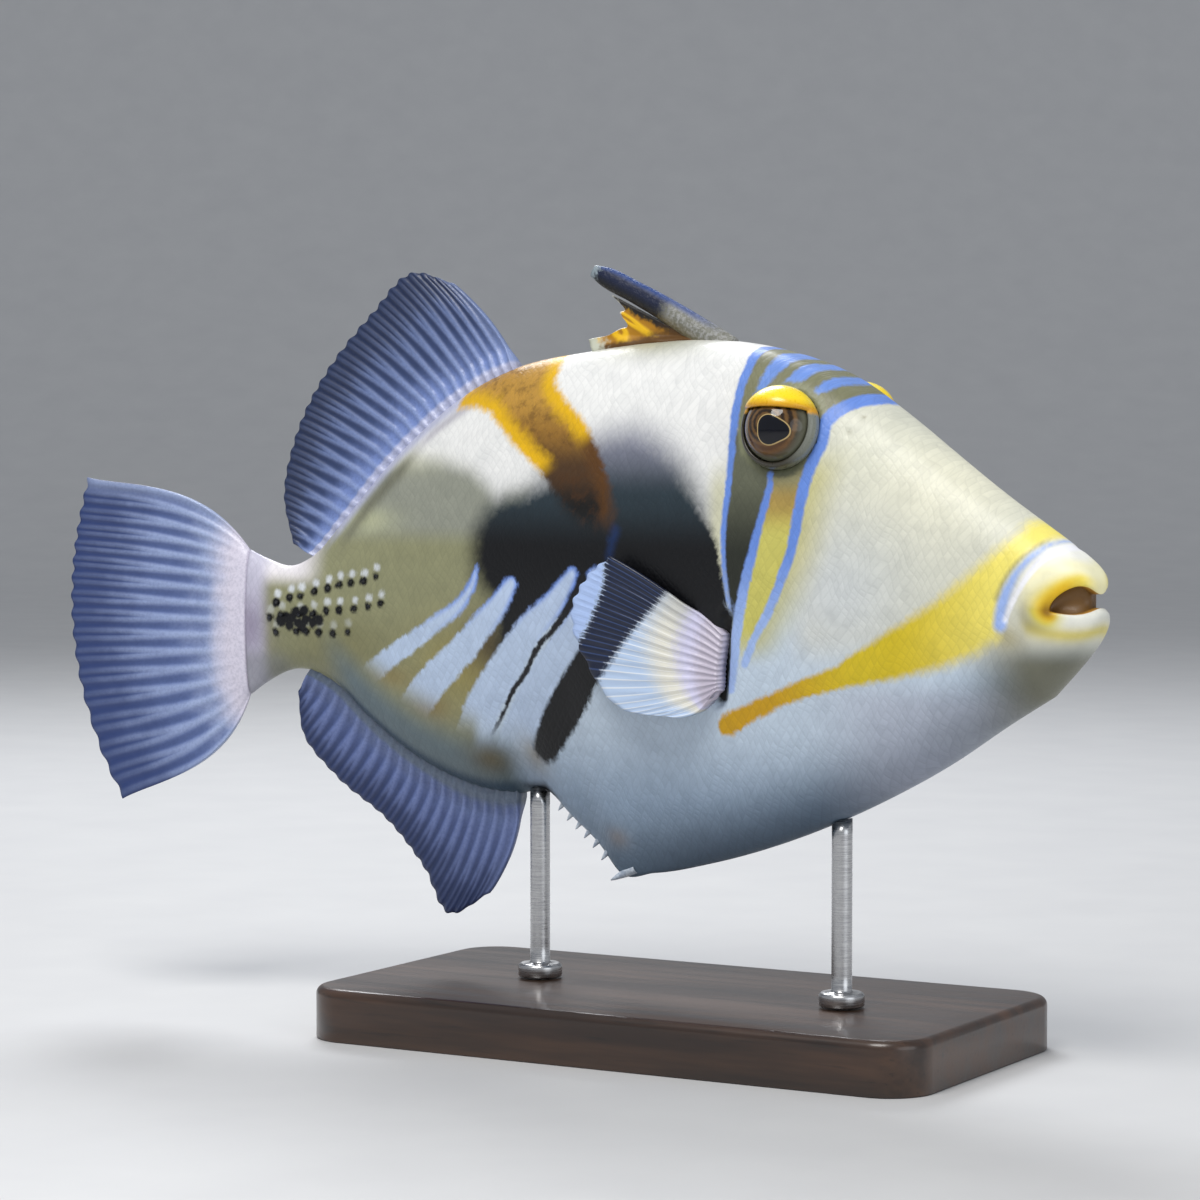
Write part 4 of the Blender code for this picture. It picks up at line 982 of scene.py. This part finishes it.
def makeTail(name, material):
    # The foot has the section of the stalk's end and the sheet thins out of it, its edges bowed
    fin = tailFin

    def foot(share):
        side, height = sectionPoint(np.full(len(share), body["end"]), math.pi * (0.5 - share))
        return np.stack([np.full_like(height, body["end"] + gap), height, side], -1)

    share, along, root, reach, length, across = spreadRays(fin, lambda share: foot(share)[:, :2], 1.15)
    bow = fin["edgeBow"] * (2 * share - 1) * np.abs(2 * share - 1) ** 1.5
    run = notched(fin, share, along)
    bend = bow * 4 * run * np.clip(1 - run, 0, 1) ** 1.4
    spot = root + reach * run[..., None] - across * bend[..., None]
    footing = 1.0 - ease(along * length / fin["rootDepth"])
    taper = (1 - rayTaper * along) * (1 - footing)
    half = fin["web"] + (fin["ray"] - fin["web"]) * taper * rayRidge(share, along, fin["rays"])
    half = half + np.maximum(np.abs(foot(share[:, 0])[:, 2:]) - fin["web"], 0.0) * footing
    return closeSheet(name, fin, share, along, spot, half, -fin["swing"] * along * along, material)


def finMaterial(name, base, middle, margin, ray, foot, footEnd):
    # Membrane from base through middle to margin, clouded, with lighter rays and a fleshy foot that
    # ends at footEnd of the way out
    paint = Paint(name)
    share, along, ridge = paint.numbers("fin")
    cloud = paint.noise(160.0, 3.0, 0.6) - 0.5
    reach = along + cloud * 0.35
    colour = reach.fade(0.04, 0.45).mix(base, middle)
    colour = reach.fade(0.40, 0.90).mix(colour, margin)
    colour = (ridge.fade(0.2, 1.0) * reach.fade(1.0, 0.15, 0.10, 0.75)).mix(colour, ray)
    colour = (ridge.fade(0.45, 0.05) * reach.fade(0.15, 0.5, 0.0, 0.55)).mix(colour, margin)
    colour = share.fade(0.07, 0.0, 0.0, 0.5).mix(colour, ray)
    colour = (along + cloud * (footEnd * 0.5)).fade(footEnd, footEnd * 0.3).mix(colour, foot)
    grain = paint.noise(1800.0, 2.0, 0.6)
    colour = grain.fade(0.35, 0.75, 0.0, 0.2).mix(colour, margin)
    return paint.finish(colour, grain.fade(0.3, 0.7, 0.34, 0.5), paint.bump(grain, 0.2, 0.08), coat=0.12)


def pectoralMaterial():
    # Lavender foot, cream inner rays, pale blue web and a navy outer zone that ends over a white stripe
    paint = Paint("pectoralSkin")
    share, along = paint.numbers("fin")[:2]
    station, height, navy = paint.numbers("finPlace")
    grain = paint.noise(1800.0, 3.0, 0.6)
    reach = along + (grain - 0.5) * 0.12
    thread = ((share * 30.0).calc("FRACT") - 0.5).calc("ABSOLUTE").fade(0.16, 0.02)
    colour = reach.fade(0.55, 0.30).mix((0.70, 0.78, 0.89), (0.86, 0.85, 0.80))
    colour = (thread * share.fade(0.15, 0.4, 0.25, 0.6)).mix(colour, (0.94, 0.94, 0.93))
    colour = share.fade(0.30, 0.05, 0.0, 0.45).mix(colour, (0.62, 0.64, 0.66))
    deep = (thread * 0.6).mix((0.05, 0.10, 0.20), (0.22, 0.31, 0.50))
    edge = navy + (thread - 0.5) * 0.7 + (grain - 0.5) * 2.0
    colour = edge.fade(0.8, -0.8).mix(colour, deep)
    outer = (station + height * 0.35).fade(122.6, 124.0)
    colour = (outer * edge.fade(-0.3, 0.6)).mix(colour, (0.66, 0.75, 0.92))
    foot = reach.fade(0.02, 0.16).mix((0.74, 0.71, 0.77), (0.81, 0.80, 0.90))
    colour = reach.fade(0.28, 0.14).mix(colour, foot)
    normal = paint.bump(grain, 0.2, 0.08, paint.bump(thread, 0.25, 0.12))
    return paint.finish(colour, grain.fade(0.3, 0.7, 0.32, 0.46), normal, coat=0.15)


def webMaterial():
    # Yellow web with brown along its foot and next to the spine, its ragged edge pale
    paint = Paint("webYellow")
    share, along, ridge = paint.numbers("fin")
    grain = paint.noise(900.0, 3.0, 0.6)
    across = share + (grain - 0.5) * 0.3
    reach = along + (grain - 0.5) * 0.3
    colour = ridge.fade(0.2, 0.9).mix((0.66, 0.46, 0.04), (0.92, 0.72, 0.07))
    colour = across.fade(0.20, 0.06).mix(colour, (0.10, 0.08, 0.06))
    colour = reach.fade(0.42, 0.12).mix(colour, (0.36, 0.24, 0.06))
    colour = across.fade(0.80, 0.95).mix(colour, (0.74, 0.75, 0.68))
    colour = reach.fade(0.92, 1.02).mix(colour, (0.84, 0.84, 0.78))
    return paint.finish(colour, grain.fade(0.3, 0.7, 0.4, 0.55), paint.bump(grain, 0.3, 0.15))


blueFin = finMaterial("blueFin", base=(0.46, 0.54, 0.76), middle=(0.25, 0.32, 0.50),
                      margin=(0.09, 0.15, 0.28), ray=(0.54, 0.61, 0.79),
                      foot=(0.70, 0.72, 0.84), footEnd=0.06)
# the anal fin's darker foot is painted shade at the belly
lowerFin = finMaterial("lowerFin", base=(0.36, 0.42, 0.58), middle=(0.32, 0.38, 0.57),
                       margin=(0.11, 0.17, 0.32), ray=(0.46, 0.52, 0.71),
                       foot=(0.38, 0.43, 0.50), footEnd=0.12)
tailBlue = finMaterial("tailBlue", base=(0.66, 0.71, 0.84), middle=(0.41, 0.48, 0.67),
                       margin=(0.16, 0.23, 0.42), ray=(0.66, 0.72, 0.86),
                       foot=(0.85, 0.83, 0.89), footEnd=0.26)
pectoralSkin = pectoralMaterial()
webYellow = webMaterial()

backRoots = rootsOnLine(dorsalFin, backLine, rootLift)
bellyRoots = rootsOnLine(analFin, bellyLine, -rootLift)
softDorsal = makeVane("softDorsalFin", dorsalFin, backRoots, straight, blueFin)
anal = makeVane("analFin", analFin, bellyRoots, straight, lowerFin)
tail = makeTail("tailFin", tailBlue)
shoulder = marginCurve(pectoralFin["rootLine"])
pectorals = {word: makeVane("pectoralFin." + word, pectoralFin, shoulder, pectoralSway(side), pectoralSkin)
             for side, word in ((1, "left"), (-1, "right"))}
web = makeVane("spinyWeb", spinyWeb, rootsOnLine(spinyWeb, backLine, 0.0), straight, webYellow)
for piece, node, slotName in ((softDorsal, "soft_dorsal_fin", "fin"), (anal, "anal_fin", "fin"),
                              (tail, "tail_fin", "fin"),
                              (pectorals["left"], "pectoral_fin_left", "pectoral_fin"),
                              (pectorals["right"], "pectoral_fin_right", "pectoral_fin"),
                              (web, "spiny_dorsal_web", "spiny_web")):
    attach(piece, "root")
    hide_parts(node)
print("fins made")


# The locking spine of the back
lockingSpine = {
    "foot": (79.0, 129.6), "tip": (108.4, 145.2), "bow": 0.7,
    "rings": 90, "around": 40,
    # half depth and half width at shares of the length
    "deep": [(0.0, 3.0), (0.3, 2.5), (0.7, 2.1), (0.93, 1.8), (1.0, 1.2)],
    "wide": [(0.0, 2.0), (0.3, 1.8), (0.7, 1.4), (0.93, 1.1), (1.0, 0.7)],
}


def makeSpine(material):
    # Elliptical rings along a line from the foot to the tip, bowed by bow * sin(pi share)
    share = np.linspace(0.0, 1.0, lockingSpine["rings"])[:, None]
    foot, tip = np.array(lockingSpine["foot"]), np.array(lockingSpine["tip"])
    reach = tip - foot
    across = np.array([-reach[1], reach[0]]) / np.hypot(*reach)
    angle = turns(lockingSpine["around"])
    middle = foot + reach * share + across * lockingSpine["bow"] * np.sin(math.pi * share)
    deep = smoothCurve(lockingSpine["deep"])(share) * np.sin(angle)
    side = smoothCurve(lockingSpine["wide"])(share) * np.cos(angle)
    ring = place(middle[:, :1] + across[0] * deep, side, middle[:, 1:] + across[1] * deep)
    thing = buildRings("lockingSpine", ring, material)
    keepNumbers(thing, "spine", share, np.sin(angle))
    return thing


def spineMaterial():
    # Mottled grey foot, navy outer half with a brighter blue front edge and a black rear edge, pale tip
    paint = Paint("spineBone")
    share, above = paint.numbers("spine")[:2]
    grain = paint.noise(1500.0, 3.0, 0.6)
    reach = share + (grain - 0.5) * 0.14
    foot = grain.fade(0.4, 0.65).mix((0.44, 0.44, 0.40), (0.59, 0.59, 0.58))
    foot = above.fade(0.1, -0.8, 0.0, 0.6).mix(foot, (0.42, 0.36, 0.16))
    outer = above.fade(0.3, -0.7).mix((0.045, 0.10, 0.22), (0.02, 0.025, 0.04))
    colour = reach.fade(0.42, 0.52).mix(foot, outer)
    colour = (above.fade(0.5, 0.95, 0.0, 0.8) * reach.fade(0.05, 0.35)).mix(colour, (0.16, 0.28, 0.53))
    colour = reach.fade(0.94, 0.98).mix(colour, (0.52, 0.57, 0.60))
    return paint.finish(colour, grain.fade(0.3, 0.7, 0.4, 0.6), paint.bump(grain, 0.6, 0.4))


spinePiece = makeSpine(spineMaterial())
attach(spinePiece, "root")
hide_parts("locking_spine")
print("spine made")


# The eyes
def makeEye(word, side, material):
    # Rings of a flattened ball round the eye's axis, from its front to its back
    centre, axis, level, upright = eyeFrame(side)
    polar = np.linspace(0.01, math.pi - 0.01, eye["rings"])[:, None, None]
    turn = turns(eye["around"])[None, :, None]
    out = level * np.cos(turn) + upright * np.sin(turn)
    spot = axis * eye["halfDepth"] * np.cos(polar) + out * eye["radius"] * np.sin(polar)
    thing = buildRings("eye." + word, centre + spot * mm, material)
    keepNumbers(thing, "eyeFace", spot @ level, spot @ upright)
    return thing


def eyeMaterial():
    # Pupil, ringed iris and pale edge, drawn in mm forwards and upwards from the eye's middle
    paint = Paint("fishEye")
    ahead, up = paint.numbers("eyeFace")[:2]
    radius = (ahead * ahead + up * up).calc("SQRT")
    grain = paint.noise(1400.0, 3.0, 0.6)
    rings = (radius * 5.2).calc("SINE") + (grain - 0.5) * 3.0
    colour = rings.fade(-1.0, 1.4).mix((0.17, 0.125, 0.08), (0.42, 0.31, 0.18))
    colour = (up.fade(-1.5, -4.5) * radius.fade(3.2, 4.4) * 0.5).mix(colour, (0.44, 0.28, 0.12))
    colour = radius.fade(5.0, 6.2).mix(colour, (0.36, 0.36, 0.30))
    # the pupil is a triangle with rounded corners, its point forwards
    x = ahead - 1.3
    y = (up + 1.3) * 1.12
    turn = y.calc("ARCTAN2", x)
    swell = (turn * 3.0).calc("COSINE") * 0.28
    edge = (x * x + y * y).calc("SQRT") - (swell + 2.75)
    colour = edge.fade(0.34, 0.18).mix(colour, (0.72, 0.62, 0.42))
    colour = edge.fade(0.12, 0.0).mix(colour, (0.01, 0.03, 0.08))
    return paint.finish(colour, grain.fade(0.3, 0.7, 0.06, 0.12), paint.bump(rings, 0.08, 0.04),
                        specular=0.35, coat=0.2, coatRoughness=0.03)


def makeRim(word, side, material):
    # A ring of skin round the eye: angle from the eye's axis and height over the ball, thicker on top,
    # where its inner edge is the lid's level edge
    centre, axis, level, upright = eyeFrame(side)
    turn = turns(eye["rimAround"], 0)[:, None, None]
    brow = np.maximum(np.sin(turn), 0.0)
    inner, outer = math.radians(eye["rimInner"]), math.radians(eye["rimOuter"])
    lid = eye["lidEdge"] / (eye["radius"] * np.maximum(brow, 0.1))
    edge = np.minimum(inner, np.arcsin(np.minimum(lid, 1.0)))
    rows = np.linspace(0, 1, eye["rimRows"])
    share = np.concatenate([rows, rows[::-1]])[None, :, None]
    depth = np.concatenate([smoothCurve(eye["rimProfile"])(rows), 0 * rows])[None, :, None]
    angle = edge + (outer - edge) * share
    grown = gap + depth * eye["rimThickness"] * (1.0 + eye["lidSwell"][word] * brow)
    out = level * np.cos(turn) + upright * np.sin(turn)
    spot = axis * (eye["halfDepth"] + grown) * np.cos(angle) + out * (eye["radius"] + grown) * np.sin(angle)
    ring = np.concatenate([spot, spot[:1]])
    thing = buildRings("eyeRim." + word, centre + ring * mm, material, closedEnds=False)
    keepNumbers(thing, "rim", share[..., 0], ring @ upright, ring @ level)
    return thing


def rimMaterial():
    # The upper part is the golden lid, its paler top partly painted light, and the rest is skin, darker at
    # its inner edge and lighter towards the front as a painted sheen
    paint = Paint("eyeRim")
    share, up, ahead = paint.numbers("rim")
    grain = paint.noise(1600.0, 3.0, 0.6)
    lid = up + (grain - 0.5) * 0.8
    # gold below and paler towards the top, partly as painted light
    gold = lid.fade(3.0, 5.0).mix((0.84, 0.60, 0.01), (1.0, 0.86, 0.05))
    gold = lid.fade(6.3, 7.2).mix(gold, (1.0, 0.90, 0.30))
    skinTone = share.fade(0.0, 0.5).mix((0.20, 0.18, 0.13), (0.42, 0.42, 0.34))
    # painted sheen: the skin lighter towards the front
    skinTone = ahead.fade(2.0, 7.0, 0.0, 0.5).mix(skinTone, (0.60, 0.62, 0.58))
    return paint.finish(lid.fade(2.0, 2.9).mix(skinTone, gold), grain.fade(0.3, 0.7, 0.25, 0.4),
                        paint.bump(grain, 0.2, 0.08), coat=0.3)


eyeGlass = eyeMaterial()
rimSkin = rimMaterial()
for side, word in ((1, "left"), (-1, "right")):
    for piece, node, slotName in ((makeEye(word, side, eyeGlass), "eye_" + word, "eye"),
                                  (makeRim(word, side, rimSkin), "eye_rim_" + word, "eye_rim")):
        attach(piece, "root")
        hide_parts(node)
print("eyes made")


# Thorns on the tail stalk, and prickles with the blunt spine on the belly's flap
thorns = {
    "radius": 0.62, "height": 1.0, "sunk": 0.7, "lean": 0.7, "footShift": 0.2,
    "rings": 9, "around": 14, "bluntness": 0.1,
    "pelvicFoot": (99.0, 32.6), "pelvicTip": (104.6, 29.8), "pelvicRadius": 1.3,
    "prickles": 6, "firstPrickle": 105.4, "prickleStep": 1.9, "prickleRadius": 0.75,
}


def makeCones(name, feet, tips, sizes, material):
    # A cone for each foot and tip: its radius falls to a blunt end as (1 - share)^0.8
    way = tips - feet
    axis = unit(way)
    across = unit(np.cross(axis, np.array([0.31, 0.17, 0.93])))
    other = np.cross(axis, across)
    share = np.linspace(0.0, 1.0, thorns["rings"])
    angle = turns(thorns["around"], 0)
    blunt = thorns["bluntness"]
    wide = np.append(blunt + (1 - blunt) * (1 - share) ** 0.8, 0.001)
    share = np.append(share, 1.0)
    out = across[:, None, None] * np.cos(angle)[:, None] + other[:, None, None] * np.sin(angle)[:, None]
    rings = (feet[:, None, None] + way[:, None, None] * share[:, None, None]
             + out * (sizes[:, None, None, None] * mm * wide[:, None, None]))
    count, high, around = rings.shape[:3]
    index = np.arange(count * high * around).reshape(count, high, around)
    after = np.roll(index, -1, axis=2)
    faces = np.stack([index[:, :-1], after[:, :-1], after[:, 1:], index[:, 1:]], -1).reshape(-1, 4)
    return meshObject(name, rings.reshape(-1, 3), faces, material)


def makeThorns(material):
    # One thorn on each dark dot of the stalk, leaning forwards, smaller towards the front of a row
    station, height = np.array(thornSpots).T
    size = 0.75 + 0.25 * ease((station - 150.0) / 20.0)
    surface = bodySide(station, height)
    foot, tip = station + thorns["footShift"], station - thorns["lean"]
    inside, outside = surface - thorns["sunk"], surface + thorns["height"] * size
    feet = np.concatenate([place(foot, side * inside, height) for side in (1, -1)])
    tips = np.concatenate([place(tip, side * outside, height) for side in (1, -1)])
    return makeCones("thorns", feet, tips, np.tile(thorns["radius"] * size, 2), material)


def makePrickles(material):
    # The last cone is the blunt pelvic spine
    station = thorns["firstPrickle"] + thorns["prickleStep"] * np.arange(thorns["prickles"])
    height = bellyLine(station) + 1.3
    foot, tip = (place(*np.insert(thorns[end], 1, 0.0))[None] for end in ("pelvicFoot", "pelvicTip"))
    feet = np.concatenate([place(station - 0.4, 0.0, height), foot])
    tips = np.concatenate([place(station + 1.3, 0.0, height - 2.1), tip])
    sizes = np.append(np.full(len(station), thorns["prickleRadius"]), thorns["pelvicRadius"])
    return makeCones("prickles", feet, tips, sizes, material)


def boneMaterial(name, dark, light):
    # Two tones in a fine grain
    paint = Paint(name)
    grain = paint.noise(900.0, 2.0, 0.6)
    return paint.finish(grain.fade(0.3, 0.7).mix(dark, light), grain.fade(0.3, 0.7, 0.35, 0.5),
                        paint.bump(grain, 0.2, 0.1))


thornBone = boneMaterial("thornBone", (0.03, 0.035, 0.05), (0.14, 0.15, 0.18))
prickleBone = boneMaterial("prickleBone", (0.62, 0.67, 0.74), (0.82, 0.86, 0.90))
for piece, node in ((makeThorns(thornBone), "tail_stalk"), (makePrickles(prickleBone), "pelvic_flap")):
    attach(piece, "root")
    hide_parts(node)
print("thorns made")


# The stand
stand = {
    "length": 128.0, "width": 66.0, "thickness": 10.0, "corner": 9.0, "bevel": 1.6,
    "rod": 1.9, "collar": 4.2, "collarHeight": 2.6, "collarEdge": 0.8,
    "rods": {"front": 54.0, "rear": 120.3},     # stations
    "baseAround": 160, "rodAround": 64, "rodRows": 12,
}


def makeBase(material):
    # Rounded rectangles stacked up the side, their corners pulled in by a quarter circle at the top
    # edge and then shrunk towards the middle of the top
    angle = turns(stand["baseAround"], 0) + math.pi / 4
    quarter = np.floor((angle % (2 * math.pi)) / (math.pi / 2)) * math.pi / 2 + math.pi / 4
    cornerX = np.sign(np.cos(quarter)) * (stand["length"] / 2 - stand["corner"])
    cornerY = np.sign(np.sin(quarter)) * (stand["width"] / 2 - stand["corner"])
    turn = np.linspace(0.0, math.pi / 2, 9)
    most = stand["corner"] - 0.1
    inset = np.concatenate([[most, 0.3, 0.0], stand["bevel"] * (1 - np.cos(turn)), [most]])
    high = np.concatenate([[0.0, 0.0, 0.3], stand["thickness"] - stand["bevel"] * (1 - np.sin(turn)),
                           [stand["thickness"]]])
    radius = stand["corner"] - inset[:, None]
    x = cornerX + radius * np.cos(angle)
    y = cornerY + radius * np.sin(angle)
    ring = np.stack([x, y, np.broadcast_to(high[:, None], x.shape)], -1) * mm
    return buildRings("standBase", ring, material)


def makeRod(word, station, material):
    # A lathe profile of collar and rod whose top follows the belly with the gap left under it
    low = stand["thickness"] + gap
    foot = place(station, 0.0, low)
    high = low + stand["collarHeight"]
    turn = np.linspace(0.0, math.pi / 2, 8)
    radius = np.concatenate([[0.05, stand["collar"] - 0.2, stand["collar"]],
                             stand["collar"] - stand["collarEdge"] * (1 - np.cos(turn)),
                             [stand["rod"] + 0.3, stand["rod"]]])
    height = np.concatenate([[low, low, low + 0.2], high - stand["collarEdge"] * (1 - np.sin(turn)),
                             [high, high + 0.3]])
    rows = np.linspace(0.0, 1.0, stand["rodRows"])[1:]
    around = stand["rodAround"]
    angle = turns(around)
    side = stand["rod"] * np.sin(angle)
    at = station - stand["rod"] * np.cos(angle)
    widest, belly = widestHeight(at), bellyLine(at)
    out = np.clip(np.abs(side) / halfWidth(at), 0.0, 1.0) ** (2 / lowerSharpness(at))
    top = widest - (widest - belly) * np.sqrt(1 - out) - gap
    level = np.concatenate([np.repeat(height[:, None], around, 1),
                            (high + 0.3) + (top - high - 0.3) * rows[:, None],
                            np.repeat(top.min()[None, None], around, 1)])
    wide = np.concatenate([radius, np.full(len(rows), stand["rod"]), [0.05]])[:, None]
    x = foot[0] / mm + wide * np.cos(angle)
    y = foot[1] / mm + wide * np.sin(angle)
    ring = np.stack([x, y, level], -1) * mm
    return buildRings("standRod." + word, ring, material)


def baseMaterial():
    # Dark wood, its grain drawn out along the base
    paint = Paint("darkWood")
    paint.stretch(12.0, 160.0, 160.0)
    grain = paint.noise(1.0, 5.0, 0.6)
    pores = paint.noise(6.0, 2.0, 0.5)
    colour = grain.fade(0.3, 0.7).mix((0.16, 0.11, 0.08), (0.30, 0.21, 0.15))
    colour = pores.fade(0.6, 0.75, 0.0, 0.5).mix(colour, (0.08, 0.06, 0.05))
    return paint.finish(colour, grain.fade(0.3, 0.7, 0.28, 0.42), paint.bump(pores, 0.15, 0.1),
                        coat=0.4, coatRoughness=0.15)


def rodMaterial():
    # Steel brushed round the rod
    paint = Paint("brushedSteel")
    paint.stretch(200.0, 200.0, 4000.0)
    grain = paint.noise(1.0, 3.0, 0.6)
    return paint.finish(grain.fade(0.3, 0.7).mix((0.66, 0.66, 0.67), (0.80, 0.80, 0.80)),
                        grain.fade(0.3, 0.7, 0.22, 0.36), paint.bump(grain, 0.08, 0.05), metallic=1.0)


basePiece = makeBase(baseMaterial())
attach(basePiece, "root")
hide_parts("stand_base")
steel = rodMaterial()
for word, station in stand["rods"].items():
    rod = makeRod(word, station, steel)
    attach(rod, "root")
    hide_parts("stand_rod_" + word)
print("stand made")


# Floor, light and camera
studio = {
    # name, place ahead of the aim, to its right and above it, size, power and tone
    "lights": [("keyLight", (0.5, -0.25, 0.75), 0.5, 6.4, (1.0, 0.98, 0.95)),
               ("fillLight", (0.8, 0.7, 0.15), 0.8, 2.2, (0.92, 0.96, 1.0)),
               ("backLight", (-0.6, -0.1, 0.6), 0.4, 4.0, (0.95, 0.97, 1.0))],
    "worldColour": (0.80, 0.84, 0.90, 1.0), "worldStrength": 0.50,
    # in metres
    "floorFront": 3.0, "floorSide": 4.0, "turnStart": 1.6, "turnRadius": 1.2, "wallTop": 4.0,
    "aim": (-0.017, 0.0, 0.083), "azimuth": 30.0, "elevation": 3.0, "distance": 0.70, "lens": 110.8,
}
azimuth, elevation = math.radians(studio["azimuth"]), math.radians(studio["elevation"])
level = math.cos(elevation)
# from the aim to the camera, and to the camera's right
back = Vector((math.sin(azimuth) * level, -math.cos(azimuth) * level, math.sin(elevation)))
right = Vector((math.cos(azimuth), math.sin(azimuth), 0.0))
aim = Vector(studio["aim"])


def makeFloor():
    # A flat floor that curves up into a wall behind: a quarter circle between two straight runs
    turn = np.linspace(0.0, math.pi / 2, 24)
    start, radius = studio["turnStart"], studio["turnRadius"]
    out = np.concatenate([[-studio["floorFront"]], start + radius * np.sin(turn), [start + radius]])
    up = np.concatenate([[0.0], radius * (1 - np.cos(turn)), [studio["wallTop"]]])
    along = np.array([-1.0, 1.0]) * studio["floorSide"]
    away = np.array([-math.sin(azimuth), math.cos(azimuth), 0.0])
    spots = along[:, None, None] * np.array(right) + out[:, None] * away
    spots = spots + up[:, None] * np.array([0.0, 0.0, 1.0])
    index = np.arange(2 * len(out)).reshape(2, len(out))
    faces = np.stack([index[0, :-1], index[1, :-1], index[1, 1:], index[0, 1:]], -1)
    paint = Paint("paleFloor")
    grain = paint.noise(40.0, 4.0, 0.5)
    paint.finish(grain.mix((0.78, 0.78, 0.785), (0.82, 0.82, 0.82)), 0.6, paint.bump(grain, 0.05, 0.5))
    return meshObject("floor", spots.reshape(-1, 3), faces, paint.material)


def makeLight(name, where, size, power, tone):
    # A round area light turned to the aim
    ahead, aside, up = where
    light = bpy.data.lights.new(name, "AREA")
    light.shape = "DISK"
    light.size = size
    light.energy = power
    light.color = tone
    thing = bpy.data.objects.new(name, light)
    thing.location = aim + back * ahead + right * aside + Vector((0, 0, up))
    thing.rotation_euler = (aim - thing.location).to_track_quat("-Z", "Y").to_euler()
    bpy.context.scene.collection.objects.link(thing)
    return thing


floor = makeFloor()
key, fill, rear = (makeLight(*light) for light in studio["lights"])
world = bpy.data.worlds.new("studio")
bpy.context.scene.world = world
world.use_nodes = True
world.node_tree.nodes["Background"].inputs["Color"].default_value = studio["worldColour"]
world.node_tree.nodes["Background"].inputs["Strength"].default_value = studio["worldStrength"]
bpy.context.scene.view_settings.view_transform = "Standard"
camera = bpy.data.objects.new("camera", bpy.data.cameras.new("camera"))
camera.data.sensor_width = 36.0
camera.data.lens = studio["lens"]
camera.data.clip_start = 0.01
camera.location = aim + back * studio["distance"]
camera.rotation_euler = (-back).to_track_quat("-Z", "Y").to_euler()
bpy.context.scene.collection.objects.link(camera)
bpy.context.scene.camera = camera
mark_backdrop(floor, key, fill, rear)
print("studio made")

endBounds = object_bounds()


def plainLists(value):
    if isinstance(value, dict):
        return {name: plainLists(item) for name, item in value.items()}
    if isinstance(value, (str, int, float, bool)) or value is None:
        return value
    return [plainLists(item) for item in value]


{"start": plainLists(startBounds), "end": plainLists(endBounds)}
